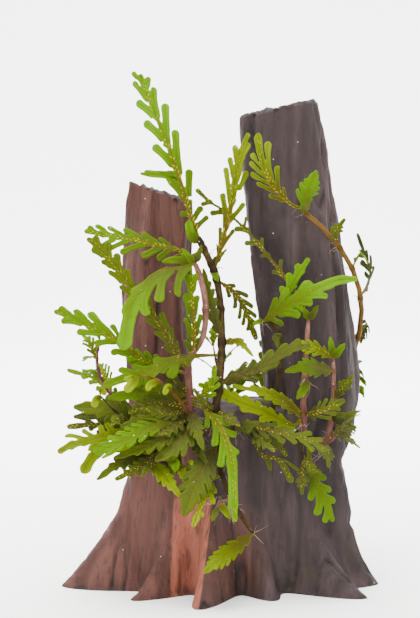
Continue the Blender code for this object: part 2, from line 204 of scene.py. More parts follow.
def set_stops(ramp, stops):
    while len(ramp.elements) < len(stops):
        ramp.elements.new(1.0)
    for element, (place, colour) in zip(ramp.elements, stops):
        element.position = place
        element.color = (*colour, 1.0)


def new_finish(name):
    """A material, its Principled shader, and a value for its surface's own coordinates."""
    material = bpy.data.materials.new(name)
    material.use_nodes = True
    tree = material.node_tree
    shader = tree.nodes["Principled BSDF"]
    place = add_node(tree, "ShaderNodeTexCoord", {}, {}, "Object")
    return material, shader, place


def attribute(place, name, output="Vector"):
    return place.node("ShaderNodeAttribute", {"attribute_name": name}, {}, output)


def bumped(place, height, depth):
    """A normal for a surface that rises by `depth` where the height is 1."""
    return place.node("ShaderNodeBump", {}, {"Height": height, "Strength": 1.0, "Distance": depth})


# Finishes

# How strongly leaves, stems and wood mirror the light, where 0.5 is usual
LEAF_GLOSS = 0.02
WOOD_GLOSS = 0.08

# How deep the fine relief of each surface is, in millimetres
LEAF_RELIEF = 0.25
STEM_RELIEF = 0.25
WOOD_RELIEF = 0.6

# How fine each pattern is: about how many of its patches fit in a metre
LEAF_PATCHES = 90.0
LEAF_MOTTLE = 260.0
LEAF_NET = 1000.0
LEAF_DUST = 330.0
FLECK_PATCHES = 420.0
WOOD_GRAIN = 420.0
WOOD_STREAKS = 70.0
WOOD_CLOUDS = 26.0
WOOD_FILM = 160.0
WOOD_PITS = 260.0
WOOD_DUST = 210.0
STEM_RIBS = 9.0
STEM_STRETCHES = 60.0
STEM_DUST = 480.0
ROOTLET_PATCHES = 70.0
GROUND_CLOUDS = 3.0

# What draws the wood's grain out upwards, and a stem's ribs along it
GRAIN_STRETCH = (1.0, 1.0, 0.10)
RIB_STRETCH = 0.02

# How much of the light that meets a leaf shines through it
SHINE_THROUGH = 0.25

BRIGHT, YELLOW, OLIVE = "leaf_bright", "leaf_yellow", "leaf_olive"
LEAF_DUST_COLOUR = (0.62, 0.64, 0.50)

LeafColours = namedtuple("LeafColours", "base middle tip rib dash margin underside glow")

LEAF_COLOURS = {
    BRIGHT: LeafColours(
        (0.044, 0.052, 0.007), (0.063, 0.118, 0.002), (0.090, 0.212, 0.0002),
        (0.100, 0.056, 0.009), (0.480, 0.430, 0.020), (0.100, 0.195, 0.001), (0.070, 0.120, 0.004),
        (0.090, 0.212, 0.0002),
    ),
    YELLOW: LeafColours(
        (0.058, 0.052, 0.007), (0.088, 0.124, 0.002), (0.172, 0.232, 0.0002),
        (0.080, 0.044, 0.007), (0.480, 0.430, 0.020), (0.165, 0.215, 0.003), (0.100, 0.124, 0.010),
        (0.165, 0.220, 0.0002),
    ),
    OLIVE: LeafColours(
        (0.032, 0.032, 0.010), (0.050, 0.061, 0.009), (0.072, 0.100, 0.004),
        (0.074, 0.040, 0.009), (0.400, 0.350, 0.025), (0.086, 0.108, 0.012), (0.050, 0.059, 0.016),
        (0.062, 0.086, 0.003),
    ),
}


def leaf_finish(name):
    """A blade that brightens towards its tip. Its mesh gives, as blade, the share along it and how far off
    the midrib and off a side vein, as make, how far in from the edge, the tone and a count of the flecks, as
    under, which side it is, and as gold, how golden the flecks beside its midrib are."""
    material, shader, place = new_finish(name)
    colours = LEAF_COLOURS[name]
    share, off, vein = attribute(place, "blade").parts()
    edge, tone, count = attribute(place, "make").parts()
    under = attribute(place, "under", "Fac")
    gold = attribute(place, "gold", "Fac")
    rib = abs(off)
    slim_rib = rib * (share * 1.1 + 0.5)
    aside = abs((count + 0.5).fraction() - 0.5) * FLECK_SPACING
    patches = place.noise(LEAF_PATCHES, 3.0)
    net = place.cells(LEAF_NET, "DISTANCE_TO_EDGE")

    shade = tone + (patches - 0.5) * 0.45 + rib.fall(0.5, 5.0) * -0.10
    colour = shade.ramp((0.0, colours.base), (0.5, colours.middle), (1.0, colours.tip))
    colour = (net.fall(0.02, 0.10) * 0.15).mix(colour, colours.base)
    colour = (vein.fall(0.08, 0.42) * rib.rise(1.0, 3.0) * 0.45).mix(colour, colours.base)
    stalk = share.ramp((0.0, colours.rib), (0.45, colours.rib), (1.0, colours.middle))
    colour = (slim_rib.fall(0.35, 0.85) * (gold * 0.45 + 0.35)).mix(colour, stalk)
    fleck = aside.fall(0.22, 0.44) * slim_rib.rise(0.18, 0.36) * slim_rib.fall(0.9, 1.5)
    fleck = fleck * place.noise(FLECK_PATCHES, 1.0).rise(0.46, 0.54) * gold
    colour = fleck.mix(colour, colours.dash)
    colour = (edge.fall(0.10, 0.45) * 0.45).mix(colour, colours.margin)
    colour = (under * 0.40).mix(colour, colours.underside)
    colour = (place.noise(LEAF_MOTTLE, 2.0).rise(0.60, 0.74) * 0.40).mix(colour, colours.base)
    colour = (place.specks(LEAF_DUST, 0.16, 0.08) * 0.8).mix(colour, LEAF_DUST_COLOUR)

    height = net.rise(0.0, 0.2) * 0.2 + vein.rise(0.0, 0.6) + rib.rise(0.0, 0.5)
    put(place.tree, shader.inputs["Base Color"], colour)
    put(place.tree, shader.inputs["Roughness"], patches * 0.25 + 0.35)
    put(place.tree, shader.inputs["Specular IOR Level"], LEAF_GLOSS)
    put(place.tree, shader.inputs["Normal"], bumped(place, height, LEAF_RELIEF * MM))
    through = place.node("ShaderNodeBsdfTranslucent", {}, {"Color": colours.glow})
    sockets = {0: SHINE_THROUGH, 1: Value(place.tree, shader.outputs[0]), 2: through}
    both = place.node("ShaderNodeMixShader", {}, sockets)
    put(place.tree, place.tree.nodes["Material Output"].inputs["Surface"], both)
    return material


# Each wood's colours in its dark streaks, between them and in its pale ones
DARK_WOOD = ((0.30, (0.016, 0.011, 0.011)), (0.55, (0.034, 0.024, 0.024)), (0.80, (0.064, 0.042, 0.041)))
RED_WOOD = ((0.30, (0.034, 0.015, 0.012)), (0.55, (0.068, 0.029, 0.023)), (0.80, (0.102, 0.043, 0.034)))
BARE_WOOD = ((0.30, (0.150, 0.048, 0.032)), (0.60, (0.215, 0.068, 0.043)), (0.90, (0.280, 0.105, 0.072)))
GRAIN_COLOUR = (0.020, 0.014, 0.013)
# The colour of the painted shade in cracks, furrows, dents and knots, and of the painted shadow under the
# leaves
PAINTED_SHADE_COLOUR = (0.014, 0.011, 0.011)
FILM_COLOUR = (0.038, 0.034, 0.016)
WOOD_DUST_COLOUR = (0.50, 0.42, 0.40)


def wood_finish():
    """Soaked wood: red-brown, dark purple-brown or bare tan, as its mesh says in zone, with grain that runs
    up it, and painted shade darkening it where the zone's third part says."""
    material, shader, place = new_finish("driftwood")
    red, bare, painted_shade = attribute(place, "zone").parts()
    along = place.times(GRAIN_STRETCH)
    grain = along.noise(WOOD_GRAIN, 4.0, 0.6)
    broad = along.noise(WOOD_STREAKS, 3.0, 0.8)
    clouds = place.noise(WOOD_CLOUDS, 3.0)
    dark, ruddy, tan = (broad.ramp(*stops) for stops in (DARK_WOOD, RED_WOOD, BARE_WOOD))
    colour = (red + (clouds - 0.4) * 0.7).rise(0.15, 0.80).mix(dark, ruddy)
    colour = (bare + (grain - 0.5) * 0.3).rise(0.35, 0.60).mix(colour, tan)
    colour = (grain.fall(0.32, 0.50) * 0.55).mix(colour, GRAIN_COLOUR)
    # Painted shade in the hollows and under the leaves, which also darkens the broken tops and the foot
    colour = (painted_shade.rise(0.15, 0.9) * 0.85).mix(colour, PAINTED_SHADE_COLOUR)
    film = clouds.rise(0.52, 0.70) * place.noise(WOOD_FILM, 4.0).rise(0.45, 0.65) * 0.30
    colour = film.mix(colour, FILM_COLOUR)
    colour = (place.specks(WOOD_DUST, 0.11, 0.13) * 0.7).mix(colour, WOOD_DUST_COLOUR)
    pits = place.cells(WOOD_PITS).rise(0.05, 0.35)
    height = grain + pits * 0.35
    put(place.tree, shader.inputs["Base Color"], colour)
    put(place.tree, shader.inputs["Roughness"], 0.50 + grain * 0.3)
    put(place.tree, shader.inputs["Specular IOR Level"], WOOD_GLOSS)
    put(place.tree, shader.inputs["Normal"], bumped(place, height, WOOD_RELIEF * MM))
    return material


STEM_DUST_COLOUR = (0.50, 0.40, 0.32)

# How far up a stem its dark foot reaches and ends, in millimetres
DARK_FOOT = (5.0, 45.0)

StemColours = namedtuple("StemColours", "dark light")

STEM_COLOURS = {
    "brown": StemColours((0.016, 0.010, 0.005), (0.050, 0.032, 0.011)),
    "pink": StemColours((0.082, 0.033, 0.025), (0.198, 0.100, 0.070)),
    "orange": StemColours((0.056, 0.028, 0.007), (0.120, 0.060, 0.012)),
}


def stem_finish(name):
    """A stem with fine ribs, paler or darker in stretches, and darker at its joints and its foot. Its mesh
    gives, as stem, the place round it, the length up it and the nearness of a joint."""
    material, shader, place = new_finish(f"stem_{name}")
    colours = STEM_COLOURS[name]
    round_it, up_it, joint = attribute(place, "stem").parts()
    unrolled = place.node("ShaderNodeCombineXYZ", {}, {"X": round_it, "Y": up_it * RIB_STRETCH, "Z": 0.0})
    streaks = unrolled.noise(STEM_RIBS, 3.0)
    stretches = place.noise(STEM_STRETCHES, 2.0)
    shade = streaks * 0.7 + stretches * 0.5 - joint * 0.25
    colour = shade.rise(0.35, 0.85).mix(colours.dark, colours.light)
    colour = (up_it.fall(*DARK_FOOT) * 0.7).mix(colour, colours.dark)
    colour = (place.specks(STEM_DUST, 0.2, 0.12) * 0.8).mix(colour, STEM_DUST_COLOUR)
    put(place.tree, shader.inputs["Base Color"], colour)
    put(place.tree, shader.inputs["Roughness"], 0.40 + stretches * 0.25)
    put(place.tree, shader.inputs["Specular IOR Level"], LEAF_GLOSS)
    put(place.tree, shader.inputs["Normal"], bumped(place, streaks, STEM_RELIEF * MM))
    return material


ROOTLET_COLOURS = (
    (0.35, (0.050, 0.028, 0.016)), (0.55, (0.140, 0.085, 0.048)), (0.78, (0.330, 0.250, 0.165)),
)


def rootlet_finish():
    """Thin roots, brown with pale stretches."""
    material, shader, place = new_finish("rootlet")
    patches = place.noise(ROOTLET_PATCHES, 2.0)
    put(place.tree, shader.inputs["Base Color"], patches.ramp(*ROOTLET_COLOURS))
    put(place.tree, shader.inputs["Roughness"], 0.45 + patches * 0.2)
    return material


GROUND_COLOURS = ((0.88, 0.88, 0.87), (0.91, 0.91, 0.90))


def ground_finish():
    """A plain pale ground."""
    material, shader, place = new_finish("pale_ground")
    tone = place.noise(GROUND_CLOUDS, 2.0)
    put(place.tree, shader.inputs["Base Color"], tone.mix(*GROUND_COLOURS))
    put(place.tree, shader.inputs["Roughness"], tone * 0.1 + 0.75)
    return material


# Curves, noise and meshes

CURVE_PARTS = 16


def curve_through(points, samples):
    """Evenly spaced points on a smooth curve through the given ones, and its length."""
    knots = [points[0] * 2 - points[1], *points, points[-1] * 2 - points[-2]]
    dense = []
    for before, start, end, after in zip(knots, knots[1:], knots[2:], knots[3:]):
        for k in range(CURVE_PARTS):
            t = k / CURVE_PARTS
            bend = (2 * before - 5 * start + 4 * end - after) * t**2
            turn = (3 * start - before - 3 * end + after) * t**3
            dense.append(0.5 * (2 * start + (end - before) * t + bend + turn))
    dense.append(points[-1].copy())
    lengths = [0.0]
    for a, b in zip(dense, dense[1:]):
        lengths.append(lengths[-1] + (b - a).length)
    even, at = [], 0
    for k in range(samples + 1):
        want = lengths[-1] * k / samples
        while at < len(dense) - 2 and lengths[at + 1] < want:
            at += 1
        span = max(lengths[at + 1] - lengths[at], 1e-9)
        even.append(dense[at].lerp(dense[at + 1], min(1.0, (want - lengths[at]) / span)))
    return even, lengths[-1]


def between(values, share):
    """The value at `share`, from 0 to 1, along evenly spaced ones."""
    at = max(0.0, min(share, 1.0)) * (len(values) - 1)
    i = min(int(at), len(values) - 2)
    return values[i] * (1 - (at - i)) + values[i + 1] * (at - i)


def step(value, low, high):
    """0 up to `low`, 1 from `high` on, with a smooth step between."""
    t = np.clip((value - low) / (high - low), 0.0, 1.0)
    return t * t * (3 - 2 * t)


def loft(rings):
    """Points and faces of the closed skin over a stack of rings, each with the same number of points."""
    sides = len(rings[0])
    points = [p for ring in rings for p in ring]
    faces = []
    for low in range(0, len(points) - sides, sides):
        for k in range(sides):
            j = (k + 1) % sides
            faces.append((low + k, low + j, low + sides + j, low + sides + k))
    faces.append(tuple(range(sides))[::-1])
    faces.append(tuple(range(len(points) - sides, len(points))))
    return points, faces


Shape = namedtuple("Shape", "points faces values")


def new_mesh(name, shapes):
    """One mesh from several shapes, with the values that each gives for its points."""
    points, faces, values = [], [], {}
    for shape in shapes:
        first = sum(len(p) for p in points)
        points.append(np.asarray(shape.points, dtype=float))
        faces += [tuple(first + k for k in face) for face in shape.faces]
        for key, rows in shape.values.items():
            values.setdefault(key, []).append(rows)
    mesh = bpy.data.meshes.new(name)
    mesh.from_pydata((np.concatenate(points) * MM).tolist(), [], faces)
    for key, rows in values.items():
        rows = np.concatenate(rows)
        kind, field = ("FLOAT_VECTOR", "vector") if rows.ndim == 2 else ("FLOAT", "value")
        mesh.attributes.new(key, kind, "POINT").data.foreach_set(field, rows.astype(np.float32).ravel())
    mesh.shade_smooth()
    return mesh


def add_piece(name, mesh, material, slot, *nodes):
    """Show a mesh as a piece of the plant, in place of the nodes that it stands for."""
    obj = bpy.data.objects.new(name, mesh)
    bpy.context.scene.collection.objects.link(obj)
    mesh.materials.append(material)
    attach(obj, "root")
    if nodes:
        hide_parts(*nodes)


# Driftwood

STUMP_MIDDLE = Vector((16.0, 8.0, 0.0))
STUMP_GNARL = 0.12
LIMB_GNARL = 0.17
STUMP_SIDES = 200
STUMP_LAYERS = 60
LIMB_SIDES = 84
LIMB_LAYERS = 90
WOOD_GRID = 1.45

# How suddenly a root spreads towards the ground, and how near a limb's top its rings begin to tilt
ROOT_FLARE = 1.8
TOP_TILT = 12

Limb = namedtuple("Limb", "path widths depths top_slope seed")

# Centre line, half widths and half depths along it, and the slope of the broken top towards the right
LIMBS = {
    "left_limb": Limb(
        [(-14, 8, 62), (-29, 10, 104), (-33, 12, 160), (-31, 12, 210), (-29, 12, 240)],
        [16, 22, 21.5, 21, 20], [12, 18, 18, 17, 16], -0.25, 11.0,
    ),
    "right_limb": Limb(
        [(48, 8, 62), (62, 11, 104), (60, 14, 150), (52, 15, 210), (41, 14, 290)],
        [24, 29, 28, 27, 24], [14, 23, 25, 24, 21], 0.10, 23.0,
    ),
}

Root = namedtuple("Root", "heading reach width rise")

# A root's heading round from the right and its half width, in degrees, how far it reaches from the stump's
# middle, and how high up the stump it begins
ROOTS = [
    Root(186, 101.9, 13, 84),
    Root(215, 74, 10, 56),
    Root(249, 64, 14, 116),
    Root(298, 52, 13, 58),
    Root(333, 82, 10, 56),
    Root(357, 91.5, 11, 86),
    Root(50, 72, 13, 76),
    Root(98, 52, 13, 60),
    Root(146, 76, 12, 68),
]

# Heights of the stump's rings, and the half width and half depth of its body at each
STUMP_RINGS = [
    (-30, 56, 28), (0, 56, 28), (14, 57, 28), (30, 58, 28), (48, 60, 28), (66, 62, 27),
    (84, 63, 26), (100, 62, 24), (109, 52, 19), (114, 34, 11),
]

Knot = namedtuple("Knot", "place radius depth")

# Sunken knots and holes in the wood: where, how wide and how deep
KNOTS = [
    Knot(seen(-7, 28, -52), 2.4, 2.2),
    Knot(seen(-38, 196, -6), 2.0, 1.4),
    Knot(seen(-24, 206, -8), 1.4, 1.2),
    Knot(seen(44, 225, -10), 3.2, 1.6),
    Knot(seen(58, 60, -26), 4.0, 2.4),
    Knot(Vector((70.0, 36.0, 180.0)), 5.0, 2.6),
    Knot(Vector((-40.0, 28.0, 190.0)), 4.0, 2.4),
    Knot(Vector((20.0, 38.0, 70.0)), 6.0, 3.0),
]


# Gnarls are read from noise on a circle round the wood: its radius in the noise, how many millimetres up make
# one step of it, how much finer the lesser gnarls are, and where the stump's start
GNARL_ROUND = 1.7
GNARL_LENGTH = 110.0
LESSER_GNARL = 2.3
STUMP_SEED = 3.0


def gnarl(angle, height, seed, amount):
    """How far a ridge or hollow of the wood changes its radius, as a share."""
    x, y = GNARL_ROUND * math.cos(angle), GNARL_ROUND * math.sin(angle) + seed
    place = Vector((x, y, height / GNARL_LENGTH))
    return 1 + amount * (noise.noise(place) + 0.5 * noise.noise(place * LESSER_GNARL))


def stump_radius(angle, height, wide, deep):
    """The body's ellipse with a ridge for each root, which runs further out nearer the ground."""
    reach = wide * deep / math.hypot(deep * math.cos(angle), wide * math.sin(angle))
    body = reach
    for root in ROOTS:
        off = (math.degrees(angle) - root.heading + 180) % 360 - 180
        low = max(0.0, 1 - max(height, 0) / root.rise)
        ridge = math.exp(-((off / root.width) ** 2)) * low**ROOT_FLARE
        reach += max(0.0, root.reach - body) * ridge
    return reach * gnarl(angle, height, STUMP_SEED, STUMP_GNARL)


def stump_skin():
    heights, wides, deeps = zip(*STUMP_RINGS)
    rings = []
    for height in np.linspace(heights[0], heights[-1], STUMP_LAYERS):
        wide, deep = np.interp(height, heights, wides), np.interp(height, heights, deeps)
        ring = []
        for k in range(STUMP_SIDES):
            angle = 2 * math.pi * k / STUMP_SIDES
            reach = stump_radius(angle, height, wide, deep)
            ring.append(Vector((reach * math.cos(angle), reach * math.sin(angle), height)) + STUMP_MIDDLE)
        rings.append(ring)
    return loft(rings)


def limb_skin(limb):
    """Elliptical rings square to the limb's centre line, the last one tilted and broken off unevenly."""
    path, length = curve_through([Vector(p) for p in limb.path], LIMB_LAYERS)
    rings = []
    for i, centre in enumerate(path):
        share = i / LIMB_LAYERS
        wide, deep = between(limb.widths, share), between(limb.depths, share)
        ahead = (path[min(i + 1, LIMB_LAYERS)] - path[max(i - 1, 0)]).normalized()
        back = Vector((0.0, 1.0, 0.0))
        back = (back - ahead * back.dot(ahead)).normalized()
        right = back.cross(ahead)
        ring = []
        for k in range(LIMB_SIDES):
            angle = 2 * math.pi * k / LIMB_SIDES
            swell = gnarl(angle, share * length, limb.seed, LIMB_GNARL)
            point = centre + (right * wide * math.cos(angle) + back * deep * math.sin(angle)) * swell
            near_top = share**TOP_TILT
            point.z += near_top * limb.top_slope * (point.x - path[-1].x)
            ring.append(point)
        rings.append(ring)
    return loft(rings)


Rough = namedtuple("Rough", "scale start")

# Forms of the wood's skin as smooth noise: how long they are along each axis, and where in it they start
FURROWS = Rough((9, 9, 75), 4.0)
CRACKS = Rough((17, 17, 120), 9.0)
CRACKED_PARTS = Rough((30, 30, 60), 2.0)
LUMPS = Rough((22, 22, 48), 6.0)
LESSER_LUMPS = Rough((9, 9, 16), 1.0)
CRUMBS = Rough((3.2, 3.2, 6.5), 8.0)
SPLINTERS = Rough((2.6, 2.6, 30), 5.0)
BARE_SHADES = Rough((14, 14, 30), 7.0)

# How sharp furrows and cracks are, where the wood is cracked, and how deep or high each form is
FURROW_SHARPNESS = 5
CRACK_SHARPNESS = 14
CRACKED_FROM = (-0.05, 0.25)
FURROW_DEPTH = 0.7
CRACK_DEPTH = 2.2
LUMP_HEIGHT = 1.1
CRUMB_HEIGHT = 0.40
SKIN_DEPTH = 0.5
SPLINTER_HEIGHT = 2.2

# How much longer a knot is upwards, how far out its rim stands by its radius, and how high by its depth
KNOT_STRETCH = (1.0, 1.0, 1.5)
KNOT_RIM = 1.7
KNOT_RIM_HEIGHT = 0.3

# Where the wood changes from one kind to another, each from the first place to the second: left and right are
# measured across, front towards the viewer, red_left towards the left, and the others up
LIMBS_PART = 5
LEFT_BREAK = (226, 234)
RIGHT_BREAK = (276, 284)
CARVED_FROM = (0.0, 4.0)
RED_LEFT = (-8, 32)
RED_SLANT = 0.06
RED_LEVEL = 100
RED_FOOT_TOP = (40, 75)
RED_FOOT_RIGHT = (15, 45)
BARE_LEFT = (-28, -18)
BARE_FRONT = (8, 18)
BARE_TOP = (52, 66)
BARE_RIGHT = (-1.0, 1.5)
BARE_RIDGE_FOOT = 43
BARE_RIDGE_SLANT = 4.5 / 33
# Where the painted shadow of the leaves falls on the lower right trunk: from its left edge, and between its
# foot and top
LEAF_SHADOW_LEFT = (5, 25)
LEAF_SHADOW_FOOT = (35, 60)
LEAF_SHADOW_TOP = (90, 130)
# How high up the wood is drawn darker towards the bottom
DARKER_FOOT = (0, 10)


def rough(points, form):
    """A form's smooth noise about 0 at each point."""
    moved = points / np.asarray(form.scale) + form.start
    return np.array([noise.noise(Vector(p)) for p in moved])


def wood_skin():
    """The skins of stump and limbs grown together, with a flat cut at the ground, as a fine even mesh."""
    skins = [stump_skin(), *(limb_skin(limb) for limb in LIMBS.values())]
    rough_mesh = new_mesh("skins", [Shape(points, faces, {}) for points, faces in skins])
    obj = bpy.data.objects.new("skins", rough_mesh)
    bpy.context.scene.collection.objects.link(obj)
    grow = obj.modifiers.new("grow_together", "REMESH")
    grow.mode = "VOXEL"
    grow.voxel_size = WOOD_GRID * MM
    even = obj.modifiers.new("even_out", "SMOOTH")
    even.factor = 0.5
    even.iterations = 3
    graph = bpy.context.evaluated_depsgraph_get()
    mesh = bpy.data.meshes.new_from_object(obj.evaluated_get(graph))
    bpy.data.objects.remove(obj)
    shape = bmesh.new()
    shape.from_mesh(mesh)
    everything = [*shape.verts, *shape.edges, *shape.faces]
    ground = {"plane_co": (0, 0, 0), "plane_no": (0, 0, 1)}
    cut = bmesh.ops.bisect_plane(shape, geom=everything, clear_inner=True, **ground)
    rim = [e for e in cut["geom_cut"] if isinstance(e, bmesh.types.BMEdge)]
    bmesh.ops.contextual_create(shape, geom=rim)
    bmesh.ops.triangulate(shape, faces=[f for f in shape.faces if len(f.verts) > 4])
    shape.to_mesh(mesh)
    shape.free()
    return mesh


def carved(points, normals):
    """The skin's points moved for furrows, cracks, lumps, knots and splinters, how much painted shade each
    place gets in its furrows, cracks, dents and knots, and how far it is part of a broken top."""
    x, _, z = points.T
    furrows = np.clip(1 - np.abs(rough(points, FURROWS)) * FURROW_SHARPNESS, 0.0, 1.0)
    cracks = np.clip(1 - np.abs(rough(points, CRACKS)) * CRACK_SHARPNESS, 0.0, 1.0)
    cracks *= step(rough(points, CRACKED_PARTS), *CRACKED_FROM)
    lumps = rough(points, LUMPS) + 0.5 * rough(points, LESSER_LUMPS)
    inward = FURROW_DEPTH * furrows + CRACK_DEPTH * cracks - LUMP_HEIGHT * lumps
    inward += SKIN_DEPTH - CRUMB_HEIGHT * rough(points, CRUMBS)
    # Painted shade in the furrows, cracks and dents, and below in the knots' hollows
    painted_shade = 0.15 * furrows + 0.8 * cracks + 0.3 * np.clip(-lumps, 0, 1)
    for knot in KNOTS:
        off = np.linalg.norm((points - np.array(knot.place)) / KNOT_STRETCH, axis=1) / knot.radius
        dent = np.exp(-(off**2))
        inward += knot.depth * (dent - KNOT_RIM_HEIGHT * np.exp(-((off - KNOT_RIM) ** 2)))
        painted_shade += dent
    moved = points - normals * (inward * step(z, *CARVED_FROM))[:, None]
    moved[:, 2] = np.where(z < 0.2, z, np.maximum(moved[:, 2], 0.3))
    tops = step(z, *LEFT_BREAK) * (x < LIMBS_PART) + step(z, *RIGHT_BREAK) * (x > LIMBS_PART)
    moved[:, 2] += tops * (SPLINTER_HEIGHT * rough(points, SPLINTERS) - 1.0) * (normals[:, 2] > 0.3)
    return moved, painted_shade, tops * (normals[:, 2] > 0.5)


def wood_zones(points, painted_shade, broken):
    """How red and how bare the wood is at each place, and how much painted shade darkens it, in its hollows
    and under the leaves; the broken tops and the lowest part are darkened with it too.
    """
    x, y, z = points.T
    red = step(-x + RED_SLANT * (z - RED_LEVEL), *RED_LEFT)
    red = np.maximum(red, 0.5 * (1 - step(z, *RED_FOOT_TOP)) * (1 - step(x, *RED_FOOT_RIGHT)))
    ridge = (z - BARE_RIDGE_FOOT) * BARE_RIDGE_SLANT
    bare = step(ridge - x, *BARE_RIGHT) * step(x, *BARE_LEFT) * step(-y, *BARE_FRONT)
    bare *= (1 - step(z, *BARE_TOP)) * (0.85 + 0.4 * rough(points, BARE_SHADES))
    # The broken tops and the lowest part of the wood are drawn darker
    painted_shade += 0.8 * broken + 0.3 * (1 - step(z, *DARKER_FOOT))
    # Painted shadow of the leaves on the lower right trunk
    painted_shade += 0.42 * step(x, *LEAF_SHADOW_LEFT) * step(z, *LEAF_SHADOW_FOOT) * (1 - step(z, *LEAF_SHADOW_TOP))
    return np.stack([red, bare, np.clip(painted_shade, 0, 1)], axis=1)


def carve_wood(mesh):
    """Carve the skin, and note its zones for the finish."""
    count = len(mesh.vertices)
    points, normals = np.empty(count * 3), np.empty(count * 3)
    mesh.vertices.foreach_get("co", points)
    mesh.vertex_normals.foreach_get("vector", normals)
    points, normals = points.reshape(-1, 3) / MM, normals.reshape(-1, 3)
    moved, painted_shade, broken = carved(points, normals)
    mesh.vertices.foreach_set("co", (moved * MM).astype(np.float32).ravel())
    zones = wood_zones(points, painted_shade, broken).astype(np.float32)
    mesh.attributes.new("zone", "FLOAT_VECTOR", "POINT").data.foreach_set("vector", zones.ravel())
    mesh.shade_smooth()
    mesh.update()


def build_driftwood():
    mesh = wood_skin()
    carve_wood(mesh)
    nodes = ["driftwood_stump", *(f"driftwood_{name}" for name in LIMBS)]
    add_piece("driftwood", mesh, wood_finish(), "driftwood", *nodes)


# Stems

STEM_SIDES = 12
STEM_STEP = 1.1
JOINT_SWELL = 0.30
JOINT_LENGTH = 1.8
TIP_TAPER = 6.0
TIP_WIDTH = 0.45
ROOTED_SHARES = (0.0, 0.33, 0.67)
ROOTED_JOINT = 0.3
LONG_STRETCH = 0.22

Stem = namedtuple("Stem", "route foot_radius head_radius colour")

# Each stem's route as seen from the front: across, up and depth
STEMS = {
    "main_stem": Stem(
        [(2, 102, -34), (4, 113, -36), (6, 127, -32), (7, 144, -25), (7, 158, -20), (6, 174, -16),
         (4, 186, -13), (1, 195, -12), (-4, 205, -12), (-7, 212, -12)],
        2.4, 1.9, "brown",
    ),
    "left_stem": Stem(
        [(-12, 100, -31), (-12, 114, -33), (-13, 129, -32), (-12, 139, -31), (-6, 148, -29),
         (-3, 158, -28), (-3, 174, -27), (-6, 188, -25), (-9, 196, -24)],
        1.7, 1.9, "pink",
    ),
    "right_stem": Stem(
        [(56, 104, -22), (56, 116, -24), (57, 129, -24), (58, 147, -23), (59, 162, -22)],
        1.9, 1.3, "pink",
    ),
    "inner_right_stem": Stem(
        [(37, 106, -22), (40, 120, -21), (42, 135, -20), (43, 150, -19), (38, 159, -17), (32, 162, -16)],
        1.6, 1.2, "brown",
    ),
    "outer_right_stem": Stem(
        [(71, 92, -20), (73, 104, -19), (74, 120, -18), (74, 139, -18)],
        1.6, 1.2, "pink",
    ),
    "cross_runner": Stem(
        [(-38, 80, -30), (-22, 87, -31), (-8, 93, -31), (10, 97, -29), (28, 98, -24), (48, 96, -21),
         (66, 87, -20)],
        1.5, 1.8, "brown",
    ),
    "front_runner": Stem(
        [(4, 90, -32), (6, 72, -36), (14, 52, -36), (26, 34, -40)],
        1.8, 1.3, "brown",
    ),
    "limb_runner": Stem(
        [(62, 102, 46), (84, 138, 34), (91, 168, 14), (84, 196, -7), (67, 218, -17), (54, 229, -20)],
        1.9, 1.3, "orange",
    ),
    "back_runner": Stem(
        [(66, 92, 44), (42, 94, 42), (14, 86, 41), (-14, 93, 38), (-38, 99, 34), (-54, 112, 28)],
        1.9, 1.4, "brown",
    ),
}

# Where the foot of each stem is rooted: a place in the middle of the stem that it grows from
FEET = {
    "main_stem": (3, 95.5, -30.5),
    "left_stem": (-11, 92, -31),
    "right_stem": (57, 92, -20.5),
    "inner_right_stem": (36, 97.5, -22.5),
    "outer_right_stem": (67, 87, -20),
    "front_runner": (4, 96, -30.5),
    "limb_runner": (65, 93, 44),
}

# Thin side shoots that carry young leaves
SHOOTS = {
    "left_shoot": Stem([(-12, 103, -34), (-17, 112, -43), (-25, 121, -48), (-33, 127, -52), (-44, 129, -54)],
                       0.9, 0.5, "orange"),
    "edge_shoot": Stem([(-28, 85, -31), (-44, 97, -42), (-58, 108, -47), (-66, 117, -49)], 0.9, 0.5, "brown"),
    "low_shoot": Stem([(-12, 93, -32), (-22, 92, -44), (-29, 84, -50), (-33, 76, -52)], 1.3, 0.9, "brown"),
    "low_side_shoot": Stem([(-34, 78, -50), (-24, 75, -49), (-12, 72, -44), (2, 74, -37)], 0.9, 1.1, "brown"),
    "front_shoot": Stem([(14, 53, -37), (11, 54, -48), (6, 53, -55), (4, 49, -58)], 1.1, 0.7, "pink"),
    "low_right_shoot": Stem([(50, 96, -22), (54, 87, -34), (56, 78, -42)], 1.2, 0.8, "brown"),
    "right_shoot": Stem([(66, 87, -20), (73, 90, -28), (78, 99, -32)], 1.1, 0.7, "pink"),
    "back_middle_shoot": Stem([(16, 87, 41), (12, 104, 52), (6, 126, 56), (2, 146, 54)], 1.5, 0.7, "pink"),
    "back_right_shoot": Stem([(46, 94, 42), (50, 112, 54), (52, 132, 60), (50, 152, 58)], 1.5, 0.7, "pink"),
    "back_low_shoot": Stem([(-10, 92, 38), (-16, 80, 52), (-18, 66, 62)], 1.3, 0.7, "brown"),
    "left_back_shoot": Stem([(-50, 109, 30), (-62, 120, 26), (-68, 136, 18), (-66, 150, 10)],
                            1.3, 0.7, "pink"),
    "right_back_shoot": Stem([(84, 138, 34), (89, 131, 42), (89, 122, 50)], 1.2, 0.7, "orange"),
}

Leafy = namedtuple("Leafy", "pairs longest half_width finish")

# Shoots whose leaves spring in pairs all the way up, and the longest leaf's length and half width
LEAFY_SHOOTS = {
    "back_middle_shoot": Leafy(4, 36, 6.5, BRIGHT),
    "back_right_shoot": Leafy(4, 38, 7.0, YELLOW),
    "back_low_shoot": Leafy(3, 32, 6.5, OLIVE),
    "left_back_shoot": Leafy(4, 30, 6.0, BRIGHT),
    "right_back_shoot": Leafy(3, 24, 5.0, BRIGHT),
    "right_shoot": Leafy(3, 24, 5.0, OLIVE),
}


